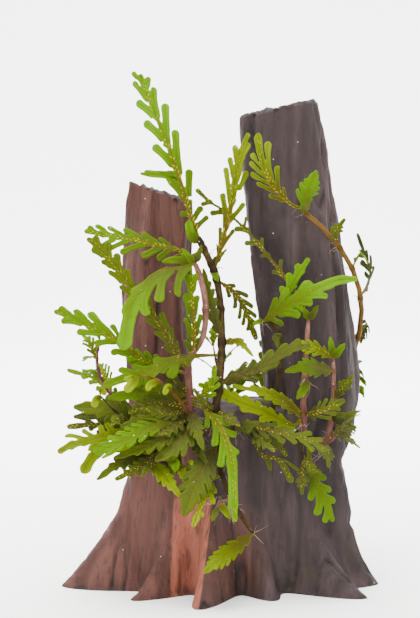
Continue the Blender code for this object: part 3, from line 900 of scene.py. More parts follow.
def stem_of(name):
    return STEMS.get(name) or SHOOTS[name]


def stem_route(name):
    """The line through the stem's middle, as in the solids."""
    stem = stem_of(name)
    return curve_through([seen(*p) for p in stem.route], 2 * len(stem.route) - 2)[0]


def tube(path, radii, sides):
    """A round skin with closed ends along a path."""
    ahead = [(path[min(i + 1, len(path) - 1)] - path[max(i - 1, 0)]).normalized() for i in range(len(path))]
    side = ahead[0].orthogonal().normalized()
    rings = []
    for centre, forward, radius in zip(path, ahead, radii):
        side = (side - forward * side.dot(forward)).normalized()
        other = forward.cross(side)
        turns = [2 * math.pi * k / sides for k in range(sides)]
        rings.append([centre + (side * math.cos(t) + other * math.sin(t)) * radius for t in turns])
    return loft(rings)


def stem_shape(name, joints):
    """A tapered tube that swells at its joints, is rooted at its foot and narrows at its head."""
    stem = stem_of(name)
    route = stem_route(name)
    length = sum((b - a).length for a, b in zip(route, route[1:]))
    count = max(8, int(length / STEM_STEP))
    path, radii, rows = [], [], []

    def add(centre, radius, up_it, near):
        path.append(centre)
        radii.append(radius)
        rows.extend([(k / STEM_SIDES, up_it, near) for k in range(STEM_SIDES)])

    if name in FEET:
        rooted = seen(*FEET[name])
        for share in ROOTED_SHARES:
            radius = stem.foot_radius * (0.8 + 0.2 * share)
            add(rooted.lerp(route[0], share), radius, -length * 0.05, ROOTED_JOINT)
    for i in range(count + 1):
        share = i / count
        near = max(math.exp(-(((share - joint) * length / JOINT_LENGTH) ** 2)) for joint in joints)
        left = (count - i) * length / count
        narrow = min(1.0, TIP_WIDTH + (1 - TIP_WIDTH) * math.sqrt(left / TIP_TAPER))
        radius = between((stem.foot_radius, stem.head_radius), share)
        add(between(route, share), radius * (1 + JOINT_SWELL * near) * narrow, share * length, near)
    points, faces = tube(path, radii, STEM_SIDES)
    return Shape(points, faces, {"stem": np.array(rows)})


def stem_joints(name):
    """Shares of the way up a stem where it swells: where leaves spring, and midway along a long stretch."""
    feet = sorted({0.0, 1.0, *(leaf.foot for leaf in (*LEAVES.get(name, ()), *small_leaves(name)))})
    midway = [(a + b) / 2 for a, b in zip(feet, feet[1:]) if b - a > LONG_STRETCH]
    return feet + midway


def build_stems():
    finishes = {name: stem_finish(name) for name in STEM_COLOURS}
    for name, stem in STEMS.items():
        mesh = new_mesh(name, [stem_shape(name, stem_joints(name))])
        add_piece(f"{name}_skin", mesh, finishes[stem.colour], "stem", name)
    for colour in STEM_COLOURS:
        names = [name for name, shoot in SHOOTS.items() if shoot.colour == colour]
        mesh = new_mesh(f"{colour}_shoots", [stem_shape(name, stem_joints(name)) for name in names])
        add_piece(f"{colour}_side_shoots", mesh, finishes[colour], "stem")


# Rootlets

ROOTLET_SIDES = 5
ROOTLET_STEP = 0.8
ROOTLET_BEND = 0.10
ROOTLET_WANDER = 0.14
ROOTLET_SAG = 0.06
ROOTLET_TAPER = 0.75

# Short roots that grow from a creeping stem towards the wood: how many at each joint, how long and how thick
HOLDS = 4
HOLD_LENGTHS = (5, 11)
HOLD_RADIUS = 0.20
CREEPING = ("cross_runner", "front_runner", "limb_runner", "back_runner")

Tuft = namedtuple("Tuft", "place heading spread length radius count")

# Where rootlets hang out in the open: place as seen from the front, main direction, how far they spread
# from it, and how long, how thick and how many they are
TUFTS = [
    Tuft((0, 203, -11), (0.8, 0.1, 0.5), 0.5, 7, 0.22, 3),
    Tuft((3, 193, -12), (0.9, 0.1, 0.4), 0.6, 7, 0.22, 4),
    Tuft((4, 186, -12), (0.9, -0.1, 0.2), 0.7, 6, 0.22, 4),
    Tuft((32, 160, -17), (0.1, -0.5, -0.8), 0.9, 9, 0.30, 6),
    Tuft((57, 127, -25), (-0.7, -0.2, -0.6), 0.3, 13, 0.28, 2),
    Tuft((58, 126, -25), (0.7, -0.2, -0.5), 0.3, 12, 0.28, 2),
    Tuft((-8, 104, -36), (0.6, -0.6, 0.3), 0.8, 9, 0.30, 6),
    Tuft((-12, 101, -34), (-0.5, -0.7, -0.2), 0.9, 10, 0.30, 6),
    Tuft((6, 55, -44), (0.3, -0.6, -1.0), 0.5, 17, 0.34, 7),
    Tuft((12, 52, -38), (0.2, -0.7, -1.0), 0.5, 14, 0.32, 6),
    Tuft((68, 84, -24), (0.4, -0.5, -0.8), 0.5, 16, 0.30, 6),
    Tuft((56, 99, -24), (-0.2, -0.6, -0.8), 0.6, 10, 0.30, 5),
    Tuft((37, 101, -24), (0.1, -0.7, -0.7), 0.6, 9, 0.30, 5),
    Tuft((2, 98, -35), (0.2, -0.7, -0.7), 0.7, 10, 0.30, 6),
    Tuft((72, 96, -20), (0.7, -0.4, -0.5), 0.5, 9, 0.28, 4),
]


def rootlet(start, heading, length, radius, draw):
    """A thin root that wanders, sags and tapers."""
    path, radii = [start], [radius]
    heading = Vector(heading).normalized()
    count = max(4, int(length / ROOTLET_STEP))
    bend = Vector(draw.normal(0, ROOTLET_BEND, 3))
    sag = Vector((0, 0, -ROOTLET_SAG))
    for i in range(count):
        heading = (heading + bend + Vector(draw.normal(0, ROOTLET_WANDER, 3)) + sag).normalized()
        path.append(path[-1] + heading * (length / count))
        radii.append(radius * (1 - ROOTLET_TAPER * (i + 1) / count))
    return Shape(*tube(path, radii, ROOTLET_SIDES), {})


def build_rootlets():
    """Rootlets in tufts in the open, and short ones that grow from each creeping stem towards the wood."""
    draw = np.random.default_rng(7)
    shapes = []
    for tuft in TUFTS:
        for _ in range(tuft.count):
            heading = Vector(tuft.heading).normalized() + Vector(draw.normal(0, tuft.spread, 3))
            start = seen(*tuft.place) + Vector(draw.normal(0, 0.8, 3))
            shapes.append(rootlet(start, heading, tuft.length * draw.uniform(0.6, 1.1), tuft.radius, draw))
    for name in CREEPING:
        route = stem_route(name)
        for share in stem_joints(name):
            start = between(route, share)
            inward = Vector((STUMP_MIDDLE.x, STUMP_MIDDLE.y, start.z - 4.0)) - start
            for _ in range(HOLDS):
                heading = inward.normalized() * 0.8 + Vector(draw.normal(0, 0.7, 3))
                shapes.append(rootlet(start, heading, draw.uniform(*HOLD_LENGTHS), HOLD_RADIUS, draw))
    add_piece("rootlets", new_mesh("rootlets", shapes), rootlet_finish(), "stem")


# Leaves

BLADE_HALF_THICKNESS = 0.20
STALK_HALF_WIDTH = 0.8
BLADE_FOLD = 0.16
BLADE_DROOP = 0.22
BLADE_WAVE = 0.05
EDGE_ROUNDING = 0.55
FLECK_SPACING = 2.7

# The midrib's height at a half width of 10, its half width at its foot and how much it grows with the
# blade's, and how much of its height and half width it loses towards the tip
RIB_HEIGHT = 0.90
RIB_HALF_WIDTH = 0.45
RIB_GROWTH = 0.09
RIB_SINKS = 0.75
RIB_NARROWS = 0.7
MIDRIB_SAMPLES = 48

# A blade's net: its widest and closest spacing, how many cells to its half width, where the cells beside the
# midrib end, and how near to a grid point the edge may come, in cells
BLADE_GRID = 0.60
FINEST_GRID = 0.32
CELLS_ACROSS = 9
RIB_CELLS = (0.0, 0.5, 1.1, 1.9)
EDGE_ROOM = 0.12

# Lobes: how they melt together, how high they are quilted above, how far one tilts and curls, where along one
# its width is given, and a drawn one's widths there
LOBE_BLEND = 0.40
QUILT = 0.28
LOBE_TILT = 0.35
LOBE_CURL = (-0.20, 0.08)
LOBE_SHARES = (0.0, 0.35, 0.7, 1.0)
DRAWN_SWELL = (1.12, 0.90, 0.86, 1.0)

# Slits between lobes: how far off the strip they start, by the blade's half width, the half widths from which
# they are open and full, and what parts the lobes of a smaller leaf
SLIT_START = 0.07
SLIT_FROM = 5
SLIT_FULL = 8
CREASE = -0.4

# The strip between drawn lobes: its least half width, by the blade's, and its round end
DRAWN_STRIP = 0.06
DRAWN_END = 1.5

# How much the tone varies from leaf to leaf and lobe to lobe, and how much brighter a blade's sides are
TONE_SPREAD = 0.06
SIDE_TONE = 0.14

Form = namedtuple("Form", "lean stalk end root waist head web breadth tip curve gold slit")

# lean: a lobe's angle to the midrib
# stalk: share of the length with no blade
# end: the end lobe's length in spacings
# root, waist and head: a lobe's half width where it springs, halfway and at its tip, by half its room
# web: half width of the strip along the midrib, by the blade's
# breadth and tip: the end lobe's half width and how round its tip is, by the blade's and its own
# curve: how much a lobe bends forward
# gold: how golden the flecks beside the midrib are
# slit: the gap that parts lobes that touch, less than 0 where only a crease parts them
FORMS = {
    "fingered": Form(34, 0.12, 1.4, 0.88, 0.70, 0.80, 0.17, 0.30, 0.80, 0.15, 1.00, 0.80),
    "slender": Form(29, 0.12, 1.5, 0.85, 0.64, 0.72, 0.14, 0.26, 0.70, 0.22, 1.00, 0.80),
    "hanging": Form(38, 0.12, 2.6, 1.00, 0.84, 0.88, 0.34, 0.46, 0.85, 0.05, 0.10, -0.80),
    "trailing": Form(25, 0.12, 3.2, 1.00, 0.88, 0.92, 0.28, 0.44, 0.80, 0.05, 0.80, 0.60),
    "broad": Form(36, 0.10, 1.7, 1.00, 0.98, 0.86, 0.48, 0.40, 0.40, 0.15, 0.15, 0.55),
    "toothed": Form(34, 0.10, 1.4, 1.05, 1.00, 0.66, 0.46, 0.34, 0.45, 0.20, 0.10, 0.60),
    "oval": Form(50, 0.18, 1.4, 1.00, 1.00, 0.80, 0.92, 0.74, 0.35, 0.10, 0.05, -2.00),
    "disc": Form(50, 0.30, 1.0, 1.00, 1.00, 0.80, 0.95, 0.90, 0.75, 0.00, 0.00, -2.00),
    "far": Form(50, 0.62, 1.4, 1.00, 1.00, 0.80, 0.92, 0.80, 0.40, 0.10, 0.05, -2.00),
}

Leaf = namedtuple("Leaf", "foot middle tip half_width pairs form face turn finish tone", defaults=[0.0])

# foot: share of the way up the stem where the leaf springs from it
# middle and tip: where the midrib passes and ends, as seen from the front, or as a place
# face and turn: how far its upper side faces up, and round from the viewer towards the right, in degrees
# tone: how much brighter than usual, partly the leaf's own colour and partly painted light and shade for how
# brightly each leaf is lit
LEAVES = {
    "main_stem": [
        Leaf(1.00, (-23, 258, -17), (-44, 310, -10), 9.5, 6, "fingered", 12, -8, BRIGHT, 0.05),
        Leaf(0.93, (-36, 209, -24), (-77, 215, -26), 10.0, 5, "fingered", 25, -10, BRIGHT, -0.20),
        Leaf(0.80, (12, 231, -14), (24, 275, -8), 8.0, 5, "trailing", 10, 8, YELLOW, -0.26),
        Leaf(0.76, (18, 174, -8), (28, 150, -4), 7.0, 5, "fingered", 10, 20, OLIVE, 0.10),
        Leaf(0.43, (1, 169, -22), (-4, 193, -19), 5.0, 5, "toothed", 5, 0, OLIVE),
        Leaf(0.41, (17, 149, -24), (26, 140, -32), 3.5, 3, "broad", 30, 10, YELLOW, -0.10),
        Leaf(0.35, (-27, 135, -47), (-64, 122, -54), 9.5, 5, "broad", 30, 0, BRIGHT, -0.32),
        Leaf(0.19, (24, 131, -32), (42, 137, -38), 7.0, 4, "broad", 10, 10, OLIVE),
        Leaf(0.16, (31, 137, -40), (62, 148, -50), 7.5, 6, "broad", 25, 10, OLIVE, -0.14),
    ],
    "left_stem": [
        Leaf(1.00, (-39, 183, -40), (-54, 144, -54), 13.0, 4, "hanging", 45, -20, BRIGHT, -0.05),
        Leaf(0.42, (-39, 173, -30), (-73, 210, -34), 8.0, 7, "trailing", 20, -15, OLIVE, 0.45),
        Leaf(0.41, (-11, 165, -34), (-13, 193, -24), 6.0, 4, "fingered", 0, 0, BRIGHT, -0.20),
        Leaf(0.33, (-53, 145, -40), (-95, 167, -42), 8.5, 7, "trailing", 25, -15, BRIGHT, -0.15),
        Leaf(0.17, (-36, 119, -40), (-61, 115, -46), 8.0, 4, "broad", 20, -10, BRIGHT, -0.30),
        Leaf(0.13, (0, 121, -44), (3, 135, -50), 5.5, 4, "fingered", 20, 0, BRIGHT, 0.10),
        Leaf(0.12, (9, 83, -57), (16, 40, -66), 10.0, 4, "trailing", 20, 5, BRIGHT, 0.05),
        Leaf(0.16, (-50, 97, -46), (-91, 86, -56), 8.6, 7, "toothed", 30, -10, YELLOW, -0.30),
        Leaf(0.04, (-42, 91, -66), (-69, 81, -75.5), 8.2, 8, "toothed", 35, 0, BRIGHT, -0.25),
        Leaf(0.02, (-18, 89, -52), (-33, 77, -62), 9.0, 4, "broad", 30, 0, OLIVE),
    ],
    "right_stem": [
        Leaf(1.00, (26, 213, -11), (-10, 241, -9), 6.5, 7, "slender", 10, 0, OLIVE, 0.05),
        Leaf(0.08, (39, 117, -42), (12, 124, -50), 5.5, 7, "toothed", 25, 0, YELLOW, -0.32),
        Leaf(0.03, (24, 112, -27), (-8, 124, -24), 8.5, 8, "toothed", 25, 0, YELLOW, 0.45),
        Leaf(0.02, (66, 107, -34), (81, 114, -38), 7.0, 4, "fingered", 20, 15, OLIVE, 0.10),
    ],
    "inner_right_stem": [
        Leaf(1.00, (57, 175, -38), (89, 187, -40), 11.0, 5, "broad", 20, 15, BRIGHT, 0.15),
        Leaf(0.90, (43, 181, -21), (58, 200, -26), 6.5, 4, "broad", 10, 10, BRIGHT, 0.35),
    ],
    "outer_right_stem": [
        Leaf(1.00, (63, 145, -26), (49, 148, -28), 5.5, 4, "fingered", 20, 10, YELLOW),
        Leaf(0.84, (59, 134, -38), (45, 131, -46), 6.5, 4, "toothed", 20, 10, BRIGHT, -0.45),
    ],
    "cross_runner": [
        Leaf(0.00, (-26, 67, -52), (-17, 55, -56), 5.5, 5, "toothed", 20, 0, YELLOW, 0.10),
        Leaf(0.04, (-62, 84, -42), (-77, 70, -50), 7.5, 6, "broad", 30, -10, YELLOW, -0.10),
        Leaf(0.10, (-55, 106, -40), (-82, 110, -42), 10.0, 5, "broad", 20, -10, OLIVE, 0.05),
        Leaf(0.52, (44, 97, -48), (72, 84, -60), 8.5, 7, "fingered", 30, 10, OLIVE, -0.02),
        Leaf(0.54, (29, 92, -40), (39, 83, -50), 6.0, 4, "fingered", 20, 10, OLIVE, -0.20),
        Leaf(0.58, (37, 78, -38), (51, 63, -46), 8.0, 4, "fingered", 20, 10, OLIVE, -0.15),
        Leaf(0.92, (62, 67, -42), (74, 40, -52), 8.5, 5, "broad", 15, 15, BRIGHT, -0.32),
    ],
    "front_runner": [
        Leaf(0.05, (-6, 70, -54), (-16, 44, -62), 10.5, 5, "broad", 20, -5, OLIVE, 0.00),
        Leaf(0.35, (-1, 54, -56), (-11, 37, -62), 6.0, 5, "fingered", 20, 0, YELLOW, 0.40),
        Leaf(1.00, (9, 21, -56), (-4, 10, -60), 6.5, 6, "toothed", 30, 0, YELLOW, -0.15),
    ],
    "limb_runner": [
        Leaf(1.00, (36, 246, -27), (28, 272, -25), 9.5, 5, "slender", 15, 0, YELLOW, -0.28),
        Leaf(0.97, (58, 237, -30), (64, 252, -34), 7.5, 4, "broad", 10, 20, BRIGHT),
        Leaf(0.56, (96, 190, 26), (88, 214, 36), 8.0, 4, "fingered", 20, 120, OLIVE, 0.15),
        Leaf(0.12, (74, 136, 60), (66, 174, 60), 9.0, 6, "fingered", 20, 165, BRIGHT),
    ],
    "back_runner": [
        Leaf(0.06, (58, 66, 68), (66, 38, 86), 9.0, 5, "fingered", 30, 165, BRIGHT),
        Leaf(0.24, (36, 126, 58), (32, 162, 52), 8.0, 6, "toothed", 15, 180, YELLOW),
        Leaf(0.40, (24, 66, 70), (12, 32, 82), 9.5, 6, "fingered", 25, 185, OLIVE),
        Leaf(0.54, (0, 96, 68), (-8, 86, 95), 9.0, 5, "fingered", 65, 180, BRIGHT),
        Leaf(0.70, (-28, 66, 60), (-44, 40, 72), 8.0, 5, "toothed", 25, 195, BRIGHT),
        Leaf(0.84, (-40, 132, 52), (-32, 174, 50), 9.0, 6, "fingered", 15, 190, OLIVE),
        Leaf(0.97, (-68, 126, 40), (-85.9, 132, 50), 7.0, 4, "fingered", 25, 205, BRIGHT),
    ],
}

Drawn = namedtuple("Drawn", "midrib lobes")

# Leaves whose lobes are drawn one by one, in columns and rows of the photograph: the places that the midrib
# passes, its tip last, and for each lobe where it springs, the middle of its round head, and its half width
DRAWN = {
    "main_stem_leaf_1": Drawn(
        [(190, 214), (180, 180), (166, 140), (150, 101), (140, 74)],
        [(190, 214, 183, 214, 2.9), (186, 198, 172, 182, 4.4), (177, 174, 146, 173, 3.1),
         (172, 163, 156, 148, 4.3), (163, 138, 147, 124, 4.2), (154, 115, 140, 104, 4.2),
         (147, 98, 136, 84, 3.6), (142, 84, 134, 74, 2.6), (194, 217, 200, 209, 3.4),
         (197, 226, 206, 218, 2.8), (188, 203, 189, 173, 3.8), (178, 172, 175, 134, 4.2),
         (167, 143, 165, 107, 4.0), (156, 115, 153, 91, 4.0), (147, 96, 148, 80, 3.2)],
    ),
    "main_stem_leaf_2": Drawn(
        [(190, 256), (178, 250), (164, 247), (150, 244), (132, 239), (110, 236), (84, 231)],
        [(182, 257, 166, 261, 2.6), (171, 248, 160, 257, 3.3), (160, 247, 145, 255, 3.6),
         (146, 244, 123, 252, 3.2), (130, 240, 110, 248, 3.0), (116, 238, 98, 248, 3.1),
         (189, 249, 176, 243, 2.8), (172, 248, 161, 240, 3.1), (160, 245, 144, 235, 3.3),
         (146, 243, 126, 231, 3.3), (131, 240, 110, 229, 3.3), (116, 237, 98, 227, 3.2),
         (103, 235, 90, 228, 2.7)],
    ),
    "main_stem_leaf_3": Drawn(
        [(218, 258), (222, 244), (226, 228), (230, 211), (233, 194), (236, 175), (240, 153), (249, 133)],
        [(220, 247, 220, 229, 1.9), (226, 226, 223, 196, 3.0), (230, 201, 226, 170, 2.8),
         (235, 184, 230, 160, 2.8), (238, 166, 235, 148, 2.9), (220, 256, 226, 250, 1.1),
         (222, 246, 233, 231, 2.1), (229, 221, 243, 205, 2.6), (232, 202, 238, 192, 3.2),
         (236, 195, 246, 174, 3.3), (236, 180, 247, 146, 3.8)],
    ),
    "main_stem_leaf_7": Drawn(
        [(196, 356), (186, 359), (176, 360), (165, 365), (150, 371), (137, 376), (120, 380), (104, 386)],
        [(178, 361, 157, 361, 4.4), (178, 361, 172, 373, 5.0), (170, 365, 163, 371, 3.0),
         (156, 370, 136, 368, 3.6), (156, 370, 148, 380, 4.4), (142, 375, 137, 384, 3.8),
         (137, 374, 122, 370, 3.4), (137, 375, 108, 384, 4.6), (189, 359, 188, 364, 2.4)],
    ),
    "main_stem_leaf_9": Drawn(
        [(228, 378), (240, 375), (248, 373), (257, 370), (270, 361), (280, 355), (290, 350), (311, 345)],
        [(247, 374, 254, 363, 4.2), (260, 368, 270, 354, 4.6), (272, 360, 285, 347, 4.0),
         (286, 352, 298, 342, 3.6), (244, 376, 255, 380, 3.2), (261, 369, 274, 364, 4.2),
         (276, 358, 289, 353, 3.0)],
    ),
    "left_stem_leaf_1": Drawn(
        [(186, 266), (178, 268), (166, 271), (154, 277), (142, 289), (133, 301), (128, 318), (123, 350)],
        [(185, 269, 177, 288, 4.6), (169, 272, 159, 297, 5.0), (152, 283, 145, 311, 4.6),
         (168, 270, 152, 278, 4.2), (152, 281, 136, 291, 5.6), (142, 293, 127, 310, 5.8),
         (134, 303, 125, 342, 8.2)],
    ),
    "left_stem_leaf_2": Drawn(
        [(190, 356), (178, 354), (168, 337), (150, 309), (133, 288), (121, 273), (109, 258), (99, 248),
         (87, 238)],
        [(167, 327, 162, 315, 3.0), (173, 343, 171, 330, 2.8), (178, 352, 176, 343, 2.6),
         (160, 328, 149, 320, 3.2), (167, 340, 157, 332, 3.2), (175, 353, 166, 347, 2.8),
         (152, 313, 148, 300, 3.0), (148, 309, 137, 303, 3.0), (133, 296, 122, 287, 2.8),
         (123, 281, 112, 272, 3.8), (114, 268, 105, 261, 4.0), (105, 256, 95, 250, 3.8),
         (131, 285, 127, 272, 3.2), (119, 269, 117, 257, 3.8), (108, 256, 108, 246, 4.0),
         (100, 249, 96, 239, 3.6)],
    ),
    "left_stem_leaf_3": Drawn(
        [(194, 344), (194, 331), (193, 312), (192, 298), (192, 284), (191, 270), (189, 260)],
        [(191, 291, 187, 277, 2.9), (191, 318, 187, 297, 4.0), (191, 338, 187, 320, 3.2),
         (192, 356, 187, 342, 3.1), (193, 290, 196, 276, 2.6), (194, 318, 197, 298, 3.0),
         (195, 335, 200, 317, 3.1), (195, 351, 198, 339, 2.3)],
    ),
    "left_stem_leaf_4": Drawn(
        [(178, 362), (162, 364), (150, 363), (138, 356), (127, 348), (112, 338), (96, 330), (78, 320),
         (54, 311)],
        [(151, 364, 143, 352, 3.0), (143, 352, 137, 343, 3.1), (120, 343, 113, 327, 3.0),
         (112, 337, 92, 316, 4.6), (91, 326, 77, 313, 4.0), (75, 319, 62, 309, 3.4),
         (148, 364, 131, 361, 3.3), (130, 351, 114, 352, 3.3), (113, 341, 98, 343, 3.4),
         (98, 333, 80, 332, 3.4), (80, 323, 64, 321, 3.0)],
    ),
    "left_stem_leaf_7": Drawn(
        [(200, 406), (209, 413), (216, 421), (221, 428), (226, 440), (230, 452), (233, 464), (234, 480),
         (235, 522)],
        [(208, 413, 207, 426, 3.0), (216, 423, 215, 442, 4.0), (224, 436, 221, 464, 4.1),
         (214, 418, 227, 422, 4.2), (222, 431, 233, 434, 3.8), (228, 446, 236, 452, 3.2),
         (231, 460, 233, 505, 4.9)],
    ),
    "left_stem_leaf_8": Drawn(
        [(165, 412), (146, 421), (128, 429), (110, 435), (97, 438), (84, 442), (72, 445), (59, 452)],
        [(114, 434, 108, 425, 3.8), (104, 437, 101, 427, 3.4), (95, 438, 84, 431, 2.6),
         (88, 440, 68, 435, 2.7), (132, 427, 124, 419, 3.4), (145, 421, 134, 415, 3.0),
         (84, 441, 72, 448, 2.3), (99, 438, 84, 444, 2.8), (114, 435, 100, 443, 3.2),
         (128, 430, 114, 440, 3.2), (140, 425, 127, 433, 3.0), (72, 444, 61, 451, 3.3)],
    ),
    "left_stem_leaf_9": Drawn(
        [(182, 420), (172, 421), (160, 425), (148, 429), (137, 434), (124, 440), (110, 447), (96, 454)],
        [(178, 420, 168, 418, 2.2), (166, 423, 148, 418, 2.6), (157, 426, 140, 422, 2.6),
         (150, 428, 133, 425, 2.6), (142, 431, 127, 429, 2.8), (134, 435, 119, 433, 3.0),
         (126, 439, 110, 438, 3.0), (118, 443, 102, 445, 3.0), (108, 448, 95, 450, 2.6),
         (170, 422, 160, 429, 2.8), (164, 425, 150, 434, 3.4), (154, 428, 140, 439, 3.6),
         (143, 432, 129, 444, 3.8), (132, 437, 118, 448, 3.8), (120, 442, 108, 452, 3.6),
         (110, 447, 99, 455, 3.0)],
    ),
    "right_stem_leaf_1": Drawn(
        [(300, 300), (286, 280), (272, 261), (258, 244), (245, 229), (231, 216), (220, 208), (210, 202),
         (196, 189)],
        [(268, 255, 262, 256, 1.9), (257, 243, 247, 243, 2.6), (247, 230, 237, 229, 2.8),
         (226, 212, 213, 213, 2.8), (244, 228, 246, 218, 1.6), (262, 249, 262, 239, 1.7),
         (210, 202, 203, 204, 2.2), (282, 275, 274, 272, 2.2), (280, 271, 281, 261, 2.0)],
    ),
    "right_stem_leaf_2": Drawn(
        [(300, 416), (295, 409), (287, 402), (280, 398), (271, 394), (261, 391), (249, 389), (232, 386)],
        [(260, 391, 253, 388, 3.3), (270, 394, 263, 390, 3.6), (280, 398, 272, 392, 3.6),
         (289, 404, 281, 396, 3.6), (296, 411, 290, 402, 3.2), (268, 394, 259, 393, 3.0),
         (278, 398, 267, 397, 3.4), (286, 403, 275, 401, 3.6), (292, 408, 283, 405, 3.4),
         (298, 414, 290, 411, 3.0)],
    ),
    "right_stem_leaf_3": Drawn(
        [(296, 425), (288, 424), (280, 420), (273, 416), (264, 411), (253, 407), (240, 402), (224, 394),
         (198, 384)],
        [(245, 404, 234, 395, 4.2), (257, 408, 245, 399, 4.4), (268, 413, 257, 405, 4.2),
         (279, 419, 270, 411, 3.8), (288, 424, 280, 416, 3.0), (243, 403, 229, 400, 3.6),
         (260, 410, 245, 408, 5.0), (275, 417, 262, 419, 4.0), (286, 423, 276, 425, 3.0),
         (234, 400, 221, 389, 3.8), (222, 394, 208, 384, 3.4), (228, 397, 214, 396, 3.4)],
    ),
    "inner_right_stem_leaf_1": Drawn(
        [(264, 321), (271, 316), (281, 309), (290, 304), (300, 299), (312, 291), (325, 285), (340, 280),
         (358, 279)],
        [(270, 318, 276, 301, 3.6), (280, 310, 286, 292, 4.6), (290, 304, 307, 286, 5.6),
         (271, 318, 281, 323, 3.4), (281, 311, 296, 313, 5.6), (292, 306, 300, 309, 3.0),
         (299, 301, 309, 302, 4.2), (309, 296, 325, 296, 3.0), (312, 292, 330, 284, 4.8),
         (328, 284, 346, 280, 3.6)],
    ),
    "inner_right_stem_leaf_2": Drawn(
        [(272, 314), (283, 300), (290, 287), (295, 279), (301, 270), (309, 258)],
        [(284, 299, 282, 289, 3.0), (290, 289, 289, 276, 3.5), (298, 274, 298, 267, 3.6),
         (294, 282, 302, 271, 2.8), (286, 296, 294, 286, 3.0)],
    ),
    "cross_runner_leaf_2": Drawn(
        [(120, 450), (105, 448), (96, 452), (89, 461), (82, 473)],
        [(98, 443, 93, 449, 4.3), (95, 454, 86, 468, 6.0)],
    ),
    "cross_runner_leaf_4": Drawn(
        [(248, 424), (258, 427), (273, 431), (288, 434), (299, 437), (310, 441), (328, 451)],
        [(250, 428, 257, 436, 1.9), (257, 428, 267, 437, 2.5), (270, 431, 283, 441, 2.7),
         (283, 433, 295, 442, 3.0), (299, 438, 312, 449, 3.0), (311, 442, 322, 450, 2.9),
         (259, 425, 275, 425, 3.0), (275, 430, 293, 430, 3.2), (298, 436, 309, 434, 3.0),
         (308, 440, 320, 440, 2.8)],
    ),
    "cross_runner_leaf_6": Drawn(
        [(262, 455), (275, 458), (284, 466), (292, 482)],
        [(278, 460, 297, 469, 1.9), (285, 467, 296, 474, 1.7), (284, 466, 290, 479, 3.5),
         (268, 457, 271, 468, 2.4)],
    ),
    "cross_runner_leaf_7": Drawn(
        [(311, 472), (314, 479), (318, 487), (322, 495), (327, 505), (333, 522)],
        [(314, 480, 311, 497, 3.2), (320, 493, 318, 511, 4.0), (312, 474, 323, 478, 3.4),
         (317, 485, 328, 489, 3.8), (323, 496, 332, 500, 3.6), (328, 508, 325, 520, 3.0)],
    ),
    "front_runner_leaf_2": Drawn(
        [(211, 480), (208, 489), (204, 498), (199, 510), (193, 527)],
        [(211, 484, 215, 491, 2.4), (208, 488, 213, 501, 2.9), (204, 496, 207, 508, 2.6),
         (200, 506, 202, 515, 2.4), (209, 485, 201, 487, 2.6), (204, 495, 198, 499, 2.7),
         (205, 498, 196, 519, 3.4)],
    ),
    "limb_runner_leaf_1": Drawn(
        [(292, 205), (286, 200), (281, 194), (275, 188), (270, 180), (265, 170), (261, 155), (258, 133)],
        [(282, 200, 271, 196, 2.2), (276, 191, 259, 184, 2.3), (271, 183, 253, 175, 2.4),
         (268, 178, 252, 164, 2.7), (264, 169, 253, 156, 2.9), (285, 198, 283, 189, 2.1),
         (279, 191, 277, 168, 2.9), (271, 180, 268, 145, 3.6), (262, 160, 258, 139, 4.0)],
    ),
}

